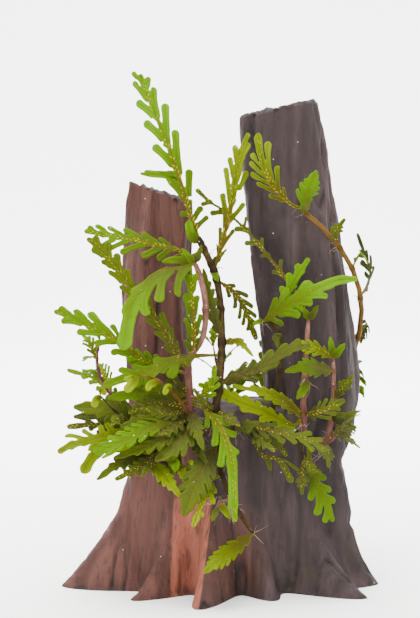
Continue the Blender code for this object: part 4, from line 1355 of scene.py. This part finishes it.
# Young and smaller leaves between the large ones, on the same stems and on the side shoots
SMALL_LEAVES = {
    "main_stem": [
        Leaf(0.97, (-11, 213, -15), (-13, 222, -15), 3.4, 2, "oval", 10, 0, BRIGHT),
        Leaf(1.00, (-19, 245, -14), (-42, 250, -15), 2.6, 1, "far", 20, 0, BRIGHT, -0.15),
        Leaf(0.80, (3, 189, -17), (5, 185, -18), 2.3, 1, "oval", 20, 0, BRIGHT, -0.2),
        Leaf(0.84, (5, 200, -12), (4, 208, -12), 1.3, 1, "oval", 10, 0, OLIVE, -0.1),
        Leaf(0.84, (6, 200, -12), (10, 205, -12), 1.3, 1, "oval", 10, 0, OLIVE, -0.1),
        Leaf(0.06, (-3, 112, -46), (-10, 121, -52), 4.0, 3, "fingered", 20, 0, OLIVE, -0.1),
        Leaf(0.05, (10, 104, -44), (18, 98, -52), 4.5, 4, "fingered", 30, 10, OLIVE, -0.2),
    ],
    "left_stem": [
        Leaf(1.00, (-12, 199, -26), (-17, 205, -28), 2.0, 1, "oval", 20, 0, BRIGHT),
        Leaf(1.00, (-7, 201, -25), (-5, 207, -26), 2.0, 1, "oval", 20, 0, OLIVE),
        Leaf(1.00, (-20, 198, -29), (-29, 197, -31), 2.6, 1, "oval", 10, 0, BRIGHT, -0.3),
        Leaf(0.30, (-37, 137, -37), (-58, 144, -41), 6.5, 5, "fingered", 25, -10, BRIGHT, -0.15),
        Leaf(0.10, (-31, 112, -43), (-49, 106, -49), 7.0, 6, "fingered", 20, -10, OLIVE, -0.1),
        Leaf(0.06, (-33, 103, -50), (-54, 98, -57), 6.5, 6, "toothed", 25, 0, OLIVE, 0.0),
        Leaf(0.03, (-32, 89, -60), (-58, 79, -69), 6.0, 6, "toothed", 30, 0, OLIVE, 0.15),
        Leaf(0.08, (-8, 96, -50), (-4, 84, -58), 5.5, 4, "broad", 25, 0, OLIVE, -0.1),
        Leaf(0.13, (-31, 118, -38), (-49, 123, -43), 5.5, 4, "broad", 25, 0, OLIVE, -0.15),
        Leaf(0.19, (-22, 125, -43), (-31, 118, -48), 4.0, 3, "fingered", 20, 0, OLIVE, -0.2),
        Leaf(0.08, (-26, 106, -46), (-42, 109, -52), 5.5, 5, "fingered", 25, -10, OLIVE, -0.15),
        Leaf(0.05, (-25, 95, -56), (-38, 93, -62), 4.5, 4, "fingered", 25, 0, OLIVE, -0.1),
    ],
    "left_shoot": [
        Leaf(0.98, (-46, 124.5, -57), (-51, 119, -58), 2.9, 1, "disc", 5, 0, YELLOW, 0.15),
        Leaf(1.00, (-47, 127.5, -56), (-52, 126.5, -57), 1.5, 1, "disc", 10, 0, YELLOW, 0.15),
        Leaf(0.70, (-35.5, 123.5, -55), (-38, 119.5, -56), 2.2, 1, "disc", 5, 0, YELLOW, 0.10),
        Leaf(0.50, (-25.5, 121.5, -52), (-27.5, 117, -53), 1.9, 1, "disc", 5, 0, YELLOW, 0.00),
    ],
    "edge_shoot": [
        Leaf(0.96, (-68, 114.5, -52), (-70, 109.5, -53), 2.4, 1, "disc", 5, 0, YELLOW, 0.05),
        Leaf(1.00, (-65, 120, -51), (-62.5, 117, -53), 1.9, 1, "disc", 10, 0, YELLOW, 0.0),
        Leaf(0.55, (-54, 103, -50), (-60, 98, -54), 4.0, 3, "fingered", 20, 0, OLIVE, 0.1),
    ],
    "cross_runner": [
        Leaf(0.03, (-52, 86, -60), (-65, 79, -65), 2.2, 1, "far", 15, 0, YELLOW, 0.30),
        Leaf(0.10, (-48, 93, -42), (-66, 92, -47), 6.0, 4, "broad", 25, -10, OLIVE, -0.05),
        Leaf(0.10, (-42, 74, -48), (-57, 66, -56), 5.5, 5, "fingered", 30, 0, OLIVE, 0.05),
        Leaf(0.20, (-21, 77, -42), (-31, 63, -48), 5.0, 4, "fingered", 20, 0, OLIVE, -0.1),
        Leaf(0.06, (-62, 98, -36), (-86, 98, -38), 6.5, 5, "fingered", 20, -10, OLIVE, -0.3),
        Leaf(0.02, (-54, 76, -44), (-68, 66, -50), 5.5, 4, "broad", 25, -10, OLIVE, 0.0),
        Leaf(0.05, (-58, 103, -34), (-82, 104, -34), 7.0, 5, "broad", 15, -10, OLIVE, -0.35),
        Leaf(0.12, (-48, 100, -34), (-66, 103, -36), 6.5, 4, "broad", 15, -10, OLIVE, -0.30),
        Leaf(0.30, (-6, 84, -44), (-2, 76, -50), 5.0, 3, "broad", 25, 0, OLIVE, -0.2),
        Leaf(0.50, (22, 98, -38), (30, 101, -44), 5.0, 3, "broad", 25, 0, OLIVE, -0.1),
        Leaf(0.75, (40, 90, -36), (46, 80, -44), 5.0, 3, "fingered", 25, 10, OLIVE, 0.0),
    ],
    "low_shoot": [
        Leaf(1.00, (-37, 73, -55), (-41, 68, -57), 3.0, 2, "fingered", 20, 0, OLIVE),
        Leaf(0.65, (-24, 84, -54), (-20, 80, -56), 2.6, 1, "oval", 20, 0, OLIVE, 0.1),
    ],
    "low_side_shoot": [
        Leaf(0.22, (-21, 77, -54), (-21, 70.5, -56), 3.2, 1, "oval", 15, 0, BRIGHT, -0.1),
        Leaf(0.62, (-11.5, 77, -50), (-10.5, 73.5, -52), 1.8, 1, "oval", 15, 0, YELLOW, 0.0),
        Leaf(0.50, (-17.5, 73, -53), (-12.5, 62, -56), 3.0, 4, "toothed", 15, 0, YELLOW, -0.3),
    ],
    "front_shoot": [
        Leaf(0.92, (8, 49, -60), (12.5, 42.5, -62), 2.4, 1, "oval", 15, 0, YELLOW, -0.15),
        Leaf(1.00, (3, 46, -60), (1, 41, -62), 1.8, 1, "oval", 15, 0, OLIVE, 0.2),
    ],
    "low_right_shoot": [
        Leaf(1.00, (55.5, 68, -46), (55, 57, -49), 4.4, 3, "fingered", 15, 0, OLIVE, -0.2),
        Leaf(0.85, (60, 74, -46), (67, 70, -51), 3.8, 3, "fingered", 15, 10, OLIVE, 0.1),
    ],
    "right_stem": [
        Leaf(0.40, (56.5, 121, -31), (52, 114.5, -33), 3.3, 1, "oval", 15, 0, BRIGHT, -0.2),
        Leaf(1.00, (62, 166, -24), (65, 171, -25), 2.0, 1, "oval", 20, 0, OLIVE, 0.1),
        Leaf(1.00, (57, 167, -23), (53, 170, -24), 1.8, 1, "oval", 20, 0, BRIGHT, -0.1),
    ],
    "inner_right_stem": [
        Leaf(0.62, (40, 152.5, -25), (40.5, 145, -27), 3.6, 3, "broad", 10, 0, OLIVE, -0.25),
        Leaf(1.00, (29, 161, -18), (25.5, 159.5, -19), 1.7, 1, "oval", 20, 0, BRIGHT),
        Leaf(0.20, (33, 117, -32), (26, 124, -36), 4.5, 3, "broad", 20, 0, OLIVE, -0.1),
    ],
    "outer_right_stem": [
        Leaf(1.00, (77, 143, -20), (81, 148, -22), 2.4, 1, "oval", 20, 10, BRIGHT, -0.1),
        Leaf(1.00, (73, 145, -18), (72, 152, -18), 2.2, 1, "oval", 20, 10, BRIGHT, -0.1),
        Leaf(0.45, (80, 122, -22), (86, 129, -26), 4.5, 3, "fingered", 20, 15, OLIVE, 0.1),
        Leaf(0.20, (79, 104, -26), (85, 98, -32), 4.5, 3, "toothed", 20, 15, OLIVE, 0.1),
    ],
    "limb_runner": [
        Leaf(0.80, (75, 214, -16), (81, 223, -20), 4.5, 3, "fingered", 15, 20, OLIVE, 0.1),
        Leaf(0.70, (90, 202, -8), (95, 196, -16), 4.5, 3, "fingered", 15, 60, BRIGHT, -0.2),
        Leaf(0.38, (94, 160, 30), (90, 148, 42), 5.5, 4, "fingered", 20, 110, OLIVE, 0.1),
    ],
    "back_runner": [
        Leaf(0.15, (56, 108, 58), (60, 128, 62), 6.5, 4, "fingered", 20, 170, OLIVE),
        Leaf(0.32, (30, 72, 62), (40, 48, 76), 7.0, 5, "trailing", 25, 170, YELLOW, -0.1),
        Leaf(0.47, (12, 110, 56), (24, 132, 58), 6.5, 5, "fingered", 20, 175, BRIGHT),
        Leaf(0.62, (-18, 110, 56), (-20, 132, 60), 6.5, 5, "toothed", 20, 190, YELLOW),
        Leaf(0.76, (-30, 80, 62), (-30, 58, 74), 6.5, 5, "fingered", 30, 190, OLIVE),
        Leaf(0.92, (-58, 100, 46), (-72, 84, 54), 7.0, 5, "trailing", 30, 200, YELLOW),
    ],
}

# How a leaf's tone runs from its base to its tip, where 0 is the base's colour and 1 the tip's
TONES = {BRIGHT: (0.15, 0.95), YELLOW: (0.10, 1.00), OLIVE: (0.15, 0.85)}


def place_of(place):
    return place if isinstance(place, Vector) else seen(*place)


def in_box(point, margin):
    """Whether a place lies inside the plant's own box by a margin."""
    return all(low / MM + margin < p < high / MM - margin for p, low, high in zip(point, *CAD_BOX))


# Leaves in pairs: how steeply the first ones rise and how much more the last ones do, in degrees, how much
# shorter the last ones are, how far they are turned away from the wood at the least, and the length below
# which none is cut back
FIRST_RISE = 18
MORE_RISE = 40
SHORTER = 0.5
LEAST_AWAY = 0.15
SHORTEST = 8


def paired_leaves(name):
    """Leaves in opposite pairs up a leafy shoot, each pair across the last, smaller and more upright towards
    its head, and none turned into the wood."""
    pairs, longest, half_width, finish = LEAFY_SHOOTS[name]
    route = stem_route(name)
    draw = np.random.default_rng(len(name))
    leaves = []
    for k in range(pairs):
        share = (k + 0.8) / (pairs - 0.2)
        foot = between(route, share)
        ahead = (between(route, share + 0.05) - between(route, share - 0.05)).normalized()
        side = ahead.orthogonal().normalized()
        away = Vector((foot.x - STUMP_MIDDLE.x, foot.y - STUMP_MIDDLE.y, 0)).normalized()
        rise = math.radians(FIRST_RISE + MORE_RISE * k / pairs + draw.uniform(-6, 6))
        for half_turn in (0.0, math.pi):
            turn = half_turn + 0.5 * math.pi * k + draw.uniform(-0.35, 0.35)
            out = side * math.cos(turn) + ahead.cross(side) * math.sin(turn)
            inward = out.dot(away)
            if inward < LEAST_AWAY:
                out = (out + away * (2 * LEAST_AWAY - 1.6 * inward)).normalized()
            length = longest * (1 - SHORTER * k / pairs) * draw.uniform(0.85, 1.05)
            reach = out * math.cos(rise) + ahead * math.sin(rise)
            while length > SHORTEST and not in_box(foot + reach * length * 1.2, 1.5 * half_width):
                length *= 0.9
            middle = foot + reach * length * 0.5 + Vector((0, 0, 0.07 * length))
            tip = foot + reach * length - Vector((0, 0, 0.10 * length))
            facing = (ahead * 0.7 + Vector((0, 0, 0.5)) + away * 0.2).normalized()
            face = math.degrees(math.asin(facing.z))
            faced = math.degrees(math.atan2(facing.x, -facing.y))
            width = half_width * length / longest * 1.1
            form = "fingered" if length > 16 else "broad"
            count = 5 if length > 24 else 3
            tone = draw.uniform(-0.15, 0.1)
            leaves.append(Leaf(share, middle, tip, width, count, form, face, faced, finish, tone))
    return leaves


def small_leaves(name):
    leaves = list(SMALL_LEAVES.get(name, ()))
    if name in LEAFY_SHOOTS:
        leaves += paired_leaves(name)
    return leaves


# Where a blade is widest, and how wide it is at its foot and its tip, as shares
WIDEST = 0.45
FOOT_REACH = 0.42
TIP_REACH = 0.52


def lobe_reach(leaf, rank):
    """How far lobe number `rank` reaches sideways: most near the middle, less at the foot and the tip."""
    t = (rank + 0.6) / leaf.pairs
    least, span = (FOOT_REACH, WIDEST) if t < WIDEST else (TIP_REACH, 1 - WIDEST)
    return leaf.half_width * (1 - (1 - least) * ((t - WIDEST) / span) ** 2)


class Midrib:
    """The line that a blade hangs on, with the directions across it and the upper side's normal along it."""

    def __init__(self, leaf, foot, drawn):
        places = [place_of(leaf.middle), place_of(leaf.tip)]
        if drawn:
            spots = [seen_place(foot), *(spot(*place) for place in drawn.midrib)]
            runs = np.cumsum([0.0, *(np.linalg.norm(b - a) for a, b in zip(spots, spots[1:]))])
            depths = np.interp(runs / runs[-1], (0.0, 0.5, 1.0), (foot.y, places[0].y, places[1].y))
            places = [seen(*p, depth) for p, depth in zip(spots[1:], depths[1:])]
        path, self.length = curve_through([foot, *places], MIDRIB_SAMPLES)
        face, turn = math.radians(leaf.face), math.radians(leaf.turn)
        outward = Vector((math.sin(turn) * math.cos(face), -math.cos(turn) * math.cos(face), math.sin(face)))
        last = len(path) - 1
        rows, views = [], []
        for i, point in enumerate(path):
            ahead = (path[min(i + 1, last)] - path[max(i - 1, 0)]).normalized()
            normal = (outward - ahead * outward.dot(ahead)).normalized()
            across = ahead.cross(normal)
            rows.append([*point, *across, *normal])
            place = seen_place(point)
            on, beside = seen_place(point + ahead) - place, seen_place(point + across) - place
            views.append([*place, *on, *beside])
        self.rows = np.array(rows)
        self.views = np.array(views)

    def at(self, along):
        """Points, directions across and normals at distances along the midrib."""
        places = np.linspace(0.0, self.length, len(self.rows))
        columns = np.stack([np.interp(along, places, column) for column in self.rows.T], axis=-1)
        return columns[..., 0:3], columns[..., 3:6], columns[..., 6:9]

    def laid_flat(self, column, row):
        """How far along and across the blade laid flat a place of the photograph lies."""
        x, y, ahead_x, ahead_y, across_x, across_y = self.views.T
        off_x, off_y = spot(column, row)[:, None] - (x, y)
        turned = ahead_x * across_y - ahead_y * across_x
        past = (off_x * across_y - off_y * across_x) / turned
        across = (ahead_x * off_y - ahead_y * off_x) / turned
        k = int(np.argmin(np.abs(past) + 0.05 * np.abs(across)))
        return k / (len(x) - 1) * self.length + past[k], across[k]


def from_capsules(along, across, centres, radii):
    """How far each point lies outside a chain of rounded bars whose radius changes evenly along each."""
    nearest = np.full(along.shape, np.inf)
    for (a, c), (b, d), r, s in zip(centres, centres[1:], radii, radii[1:]):
        reach = max((b - a) ** 2 + (d - c) ** 2, 1e-9)
        share = np.clip(((along - a) * (b - a) + (across - c) * (d - c)) / reach, 0.0, 1.0)
        off = np.hypot(along - a - share * (b - a), across - c - share * (d - c))
        nearest = np.minimum(nearest, off - (r + share * (s - r)))
    return nearest


class Plan:
    """A blade laid flat: its lobes, end lobe and web as rounded bars that melt together."""

    def __init__(self, leaf, rib, drawn, draw):
        self.form = form = FORMS[leaf.form]
        self.length = rib.length
        self.start = form.stalk * rib.length
        self.spacing = (rib.length - self.start) / (leaf.pairs + form.end)
        self.slope = 1 / math.tan(math.radians(form.lean))
        self.half_width = leaf.half_width
        self.stalk = min(STALK_HALF_WIDTH + 0.04 * (leaf.half_width - 5), 0.35 * leaf.half_width)
        if leaf.half_width > SLIT_FROM:
            self.slit = form.slit * min(1.0, leaf.half_width / SLIT_FULL)
        else:
            self.slit = min(form.slit, CREASE)
        ranks = range(leaf.pairs)
        if drawn:
            self.bars = [self.drawn_lobe(rib, lobe) for lobe in drawn.lobes]
            self.web = self.narrow_web()
        else:
            self.bars = [self.lobe(leaf, side, rank, draw) for side in (-1, 1) for rank in ranks]
            self.web = self.web_bar(leaf)

    def lead(self, off):
        """How far ahead of its spring a lobe's middle line is, at a distance off the midrib."""
        bend = 1 - self.form.curve + self.form.curve * 1.3 * off / self.half_width
        return off * self.slope * bend

    def drawn_lobe(self, rib, lobe):
        column, row, head_column, head_row, half_width = lobe
        root, head = (np.array(rib.laid_flat(*place)) for place in ((column, row), (head_column, head_row)))
        radius = half_width * ROW_HEIGHT
        places = [tuple(root + (head - root) * t) for t in LOBE_SHARES]
        return places, [radius * swell for swell in DRAWN_SWELL]

    def lobe(self, leaf, side, rank, draw):
        form = self.form
        room = 0.5 * self.spacing * math.sin(math.radians(form.lean))
        spring = self.start + (rank + 0.3 + 0.1 * side + 0.05 * draw.uniform(-1, 1)) * self.spacing
        reach = lobe_reach(leaf, rank) * draw.uniform(0.88, 0.99)
        size = min(1.0, 0.6 + 0.45 * reach / leaf.half_width) * draw.uniform(0.92, 1.08)
        head = min(room * form.head, 0.48 * leaf.half_width) * size
        offs = [max(reach - head, 0.4) * t for t in LOBE_SHARES]
        radii = [room * k * size for k in (form.root, 0.4 * form.root + 0.6 * form.waist, form.waist)]
        places = [(min(spring + self.lead(off), self.length - head), side * off) for off in offs]
        return places, [*radii, head]

    def narrow_web(self):
        """The strip between drawn lobes."""
        strip = max(self.stalk, (DRAWN_STRIP + 0.45 * self.form.web) * self.half_width)
        shares = (0.0, self.form.stalk, 0.5, 0.88)
        centres = [(share * self.length, 0.0) for share in shares] + [(self.length - DRAWN_END, 0.0)]
        return centres, [self.stalk, self.stalk, strip, 0.85 * strip, DRAWN_END]

    def web_bar(self, leaf):
        """The strip along the midrib, from the stalk to the end lobe."""
        form = self.form
        springs = [self.start + (rank + 0.25) * self.spacing for rank in range(leaf.pairs)]
        widths = [form.web * lobe_reach(leaf, rank) for rank in range(leaf.pairs)]
        end = form.breadth * leaf.half_width
        tip = form.tip * end
        centres = [(0.0, 0.0), (self.start, 0.0), *((spring, 0.0) for spring in springs)]
        radii = [self.stalk, self.stalk, *(max(width, self.stalk) for width in widths)]
        centres += [(self.length - max(0.55 * form.end * self.spacing, end), 0.0), (self.length - tip, 0.0)]
        radii += [end, tip]
        return centres, radii

    def reach(self):
        """How far along and across the blade goes."""
        bars = (*self.bars, self.web)
        ends = [(a + r, abs(c) + r) for centres, radii in bars for (a, c), r in zip(centres, radii)]
        return [max(values) for values in zip(*ends)]

    def outside(self, along, across):
        """How far outside the blade's outline a place is, less than 0 within it."""
        off_web = from_capsules(along, across, *self.web)
        gaps = np.array([from_capsules(along, across, *bar) for bar in self.bars])
        melted = -LOBE_BLEND * np.log(np.exp(-gaps / LOBE_BLEND).sum(axis=0) + np.exp(-off_web / LOBE_BLEND))
        first, second = np.sort(gaps, axis=0)[:2]
        in_slit = 0.5 * (self.slit - (second - first))
        return np.maximum(melted, np.minimum(in_slit, off_web - SLIT_START * self.half_width))

    def nearest_lobe(self, along, across):
        """For each place, the number of the nearest lobe, that lobe's half width, and how far to the side of
        its middle line the place lies."""
        nearest = np.full(along.shape, np.inf)
        number, room, aside = np.zeros(along.shape, int), np.ones(along.shape), np.zeros(along.shape)
        for k, (centres, radii) in enumerate(self.bars):
            (a, c), (b, d) = centres[0], centres[-1]
            gap = from_capsules(along, across, centres, radii)
            closer = gap < nearest
            nearest = np.where(closer, gap, nearest)
            number = np.where(closer, k, number)
            room = np.where(closer, radii[1], room)
            off = ((along - a) * (d - c) - (across - c) * (b - a)) / max(math.hypot(b - a, d - c), 0.1)
            aside = np.where(closer, off, aside)
        return number, room, aside


def cut_out(along, across, outside):
    """The part of a grid within the outline: its points, how many of them are grid points, and its faces."""
    inside = outside < 0
    number = np.cumsum(inside.ravel()).reshape(inside.shape) - 1
    places = [(along[i, j], across[i, j]) for i, j in np.argwhere(inside)]
    whole = len(places)
    on_edge = {}
    faces = []

    def crossing(first, second):
        key = (min(first, second), max(first, second))
        if key not in on_edge:
            a, b = outside[key[0]], outside[key[1]]
            t = min(max(a / (a - b), EDGE_ROOM), 1 - EDGE_ROOM)
            on_edge[key] = len(places)
            places.append(tuple((1 - t) * grid[key[0]] + t * grid[key[1]] for grid in (along, across)))
        return on_edge[key]

    touched = inside[:-1, :-1] | inside[1:, :-1] | inside[:-1, 1:] | inside[1:, 1:]
    for i, j in np.argwhere(touched):
        corners = [(i, j), (i, j + 1), (i + 1, j + 1), (i + 1, j)]
        face = []
        for first, second in zip(corners, corners[1:] + corners[:1]):
            if inside[first]:
                face.append(int(number[first]))
            if inside[first] != inside[second]:
                face.append(crossing(first, second))
        if len(face) > 2:
            faces.append(face)
    return np.array(places), whole, faces


def blade_grid(leaf, plan):
    """A net of places laid flat over the blade, closer near the midrib, and how far outside it each is."""
    cell = min(max(leaf.half_width / CELLS_ACROSS, FINEST_GRID), BLADE_GRID)
    far, wide = plan.reach()
    offs = [cell * k for k in RIB_CELLS]
    while offs[-1] < wide:
        offs.append(offs[-1] + cell)
    offs = np.array([-c for c in offs[:0:-1]] + offs)
    stations = np.linspace(0.0, far + 0.5, max(12, int(far / cell)))
    along, across = np.meshgrid(stations, offs, indexing="ij")
    outside = plan.outside(along, across)
    outside[0, :] = np.maximum(outside[0, :], 0.2)
    drop_loose_bits(across, outside)
    return along, across, outside


def drop_loose_bits(across, outside):
    """Take away the parts of a blade that don't hang on its midrib."""
    inside = outside < 0
    held = inside & (across == 0)
    while True:
        grown = held.copy()
        grown[1:] |= held[:-1]
        grown[:-1] |= held[1:]
        grown[:, 1:] |= held[:, :-1]
        grown[:, :-1] |= held[:, 1:]
        grown &= inside
        if (grown == held).all():
            break
        held = grown
    outside[inside & ~held] = 0.1


def blade_bow(leaf, plan, a, c, lobe, seed, draw):
    """How far each place of a blade rises above its midrib: the blade is folded, droops at its sides and is a
    little wavy, and each lobe is tilted and curled."""
    number, room, aside = lobe
    lobes = len(plan.bars)
    off = np.abs(c) / leaf.half_width
    tilt = draw.uniform(-LOBE_TILT, LOBE_TILT, lobes)[number]
    curl = draw.uniform(*LOBE_CURL, lobes)[number] * leaf.half_width
    free = np.clip((off - plan.form.web) / (1 - plan.form.web), 0.0, 1.2)
    free *= step(a, plan.start, plan.start + 4)
    wave = BLADE_WAVE * np.sin(a / leaf.half_width * 1.3 + seed) * np.abs(c)
    bow = BLADE_FOLD * np.abs(c) - BLADE_DROOP * c**2 / leaf.half_width
    return bow + free * (tilt * np.clip(aside, -room, room) + curl * free) + wave


def blade_tones(leaf, share, off, number, lobes, draw):
    """How bright each place of a blade is."""
    low, high = TONES[leaf.finish]
    by_lobe = draw.uniform(-TONE_SPREAD, TONE_SPREAD, lobes)[number]
    along = low + (high - low) * step(share, 0.0, 0.9)
    return leaf.tone + along + by_lobe + draw.uniform(-TONE_SPREAD, TONE_SPREAD) + SIDE_TONE * (off - 0.5)


def leaf_shape(leaf, stem_name, seed, drawn=None):
    """A blade with round lobes: two sheets that meet at the edge, parted a little, with the midrib standing
    out on both and side veins sunk between soft cushions above."""
    draw = np.random.default_rng(seed)
    rib = Midrib(leaf, between(stem_route(stem_name), leaf.foot), drawn)
    plan = Plan(leaf, rib, drawn, draw)
    along, across, outside = blade_grid(leaf, plan)
    places, whole, faces = cut_out(along, across, outside)
    a, c = places.T
    count = len(places)
    edge = np.zeros(count)
    edge[:whole] = -outside[outside < 0]
    share = np.clip(a / rib.length, 0, 1)
    small = min(1.0, leaf.half_width / 7)

    number, room, aside = plan.nearest_lobe(a, c)
    bow = blade_bow(leaf, plan, a, c, (number, room, aside), seed, draw)
    furrow = np.sin(0.5 * np.pi * np.clip(np.abs(aside) / room, 0, 1))
    blade = step(a, plan.start - 2, plan.start + 6)
    cushion = QUILT * small * furrow * blade * step(np.abs(c), 0.2, 2.0)
    rounding = np.sqrt(np.clip(1 - (1 - np.clip(edge / (EDGE_ROUNDING * small), 0, 1)) ** 2, 0, 1))
    rib_width = (RIB_HALF_WIDTH + RIB_GROWTH * leaf.half_width) * (1 - RIB_NARROWS * share)
    ridge = RIB_HEIGHT * leaf.half_width / 10 * (1 - RIB_SINKS * share) * np.exp(-((c / rib_width) ** 2))
    over = rounding * (BLADE_HALF_THICKNESS * small + cushion + 0.6 * ridge)
    below = rounding * (BLADE_HALF_THICKNESS * small - 0.35 * cushion + ridge)

    middle, across_it, normal = rib.at(np.clip(a, 0, rib.length))
    past = np.maximum(a - rib.length, 0) / rib.length * MIDRIB_SAMPLES
    flat = middle + across_it * c[:, None] + (rib.rows[-1, 0:3] - rib.rows[-2, 0:3]) * past[:, None]
    top = flat + normal * (bow + over)[:, None]
    bottom = flat + normal * (bow - below)[:, None]
    to_bottom = np.arange(count)
    to_bottom[:whole] = count + np.arange(whole)
    skins = [tuple(face) for face in faces] + [tuple(int(to_bottom[k]) for k in face[::-1]) for face in faces]

    def both(*columns):
        """Values for the points above, and for those below that have their own."""
        return np.stack([np.concatenate([values, values[:whole]]) for values in columns], axis=1)

    tone = blade_tones(leaf, share, np.abs(c) / leaf.half_width, number, len(plan.bars), draw)
    fleck = (a - 0.9 * plan.slope * np.abs(c)) / FLECK_SPACING + 0.5 * (c > 0)
    under = np.concatenate([np.zeros(count), np.ones(whole)])
    under[whole:count] = 0.5
    values = {
        "blade": both(share, c / small, np.abs(aside) / small),
        "make": both(edge, tone, fleck),
        "under": under,
        "gold": np.full(count + whole, plan.form.gold),
    }
    return Shape(np.concatenate([top, bottom[:whole]]), skins, values)


def build_leaves():
    """A piece for each large leaf, and one for the small leaves of each finish on a stem."""
    finishes = {name: leaf_finish(name) for name in LEAF_COLOURS}
    for rank, stem_name in enumerate((*STEMS, *SHOOTS)):
        for number, leaf in enumerate(LEAVES.get(stem_name, ()), 1):
            node = f"{stem_name}_leaf_{number}"
            mesh = new_mesh(node, [leaf_shape(leaf, stem_name, 100 * rank + number, DRAWN.get(node))])
            add_piece(f"{node}_blade", mesh, finishes[leaf.finish], leaf.finish, node)
        small = list(enumerate(small_leaves(stem_name), 100 * rank + 50))
        for finish, material in finishes.items():
            shapes = [leaf_shape(leaf, stem_name, seed) for seed, leaf in small if leaf.finish == finish]
            if shapes:
                name = f"{stem_name}_small_{finish}"
                add_piece(name, new_mesh(name, shapes), material, finish)


# Ground, light and camera

GROUND_RADIUS = 2.6
INNER_RADIUS = 0.4
BOWL_BEND = 1.2
BOWL_HEIGHT = 3.0
BEND_STEPS = 12
ROUND_STEPS = 96


def build_ground():
    """A pale ground that curves up into a round wall, in metres, so that no horizon shows."""
    flat = GROUND_RADIUS - BOWL_BEND
    profile = [(0.0, 0.0), (INNER_RADIUS, 0.0), (flat, 0.0)]
    for k in range(1, BEND_STEPS + 1):
        turn = 0.5 * math.pi * k / BEND_STEPS
        profile.append((flat + BOWL_BEND * math.sin(turn), BOWL_BEND * (1 - math.cos(turn))))
    profile.append((GROUND_RADIUS, BOWL_HEIGHT))
    shape = bmesh.new()
    corners = [shape.verts.new((across, 0.0, up)) for across, up in profile]
    edges = [shape.edges.new(pair) for pair in zip(corners, corners[1:])]
    full_turn = {"cent": (0, 0, 0), "axis": (0, 0, 1), "angle": 2 * math.pi, "steps": ROUND_STEPS}
    bmesh.ops.spin(shape, geom=corners + edges, use_merge=True, **full_turn)
    bmesh.ops.remove_doubles(shape, verts=shape.verts, dist=1e-5)
    bmesh.ops.recalc_face_normals(shape, faces=shape.faces)
    bmesh.ops.reverse_faces(shape, faces=shape.faces)
    mesh = bpy.data.meshes.new("ground")
    shape.to_mesh(mesh)
    shape.free()
    mesh.shade_smooth()
    mesh.materials.append(ground_finish())
    ground = bpy.data.objects.new("ground", mesh)
    bpy.context.scene.collection.objects.link(ground)


Light = namedtuple("Light", "name place target size power colour")

# Square soft lights: where each stands and what it shines on, in metres, its size, power and colour
LIGHTS = [
    Light("overhead", (-0.15, -0.25, 1.30), (0, 0, 0.15), 0.7, 36.0, (1.0, 0.98, 0.94)),
    Light("front_left", (-1.00, -1.10, 0.80), (0, 0, 0.15), 0.8, 17.0, (1.0, 0.98, 0.95)),
    Light("back_right", (0.90, 1.00, 0.90), (0, 0, 0.15), 0.8, 10.0, (0.95, 0.98, 1.0)),
    Light("wall", (0, 0.70, 1.30), (0, 1.90, 0.25), 1.0, 110.0, (1.0, 1.0, 1.0)),
]
SKY_COLOUR = (0.96, 0.98, 1.0, 1.0)
SKY_STRENGTH = 2.6


def add_light(light):
    lamp = bpy.data.lights.new(light.name, "AREA")
    lamp.size = light.size
    lamp.energy = light.power
    lamp.color = light.colour
    obj = bpy.data.objects.new(light.name, lamp)
    bpy.context.scene.collection.objects.link(obj)
    obj.location = light.place
    aim = Vector(light.target) - Vector(light.place)
    obj.rotation_euler = aim.to_track_quat("-Z", "Y").to_euler()


def build_light():
    world = bpy.data.worlds.new("pale_room")
    world.use_nodes = True
    bpy.context.scene.world = world
    sky = world.node_tree.nodes["Background"]
    sky.inputs["Color"].default_value = SKY_COLOUR
    sky.inputs["Strength"].default_value = SKY_STRENGTH
    for light in LIGHTS:
        add_light(light)


def build_camera():
    camera = bpy.data.cameras.new("camera")
    camera.sensor_fit = "VERTICAL"
    camera.angle = 2 * math.atan(0.5 * FRAME_ROWS * ROW_HEIGHT / SIGHT_DISTANCE)
    camera.clip_start = 0.01
    obj = bpy.data.objects.new("camera", camera)
    bpy.context.scene.collection.objects.link(obj)
    obj.location = EYE * MM
    obj.rotation_euler = (math.pi / 2 - SIGHT_TILT, 0.0, 0.0)
    bpy.context.scene.camera = obj


build_camera()
build_ground()
build_light()
build_driftwood()
build_stems()
build_leaves()
build_rootlets()
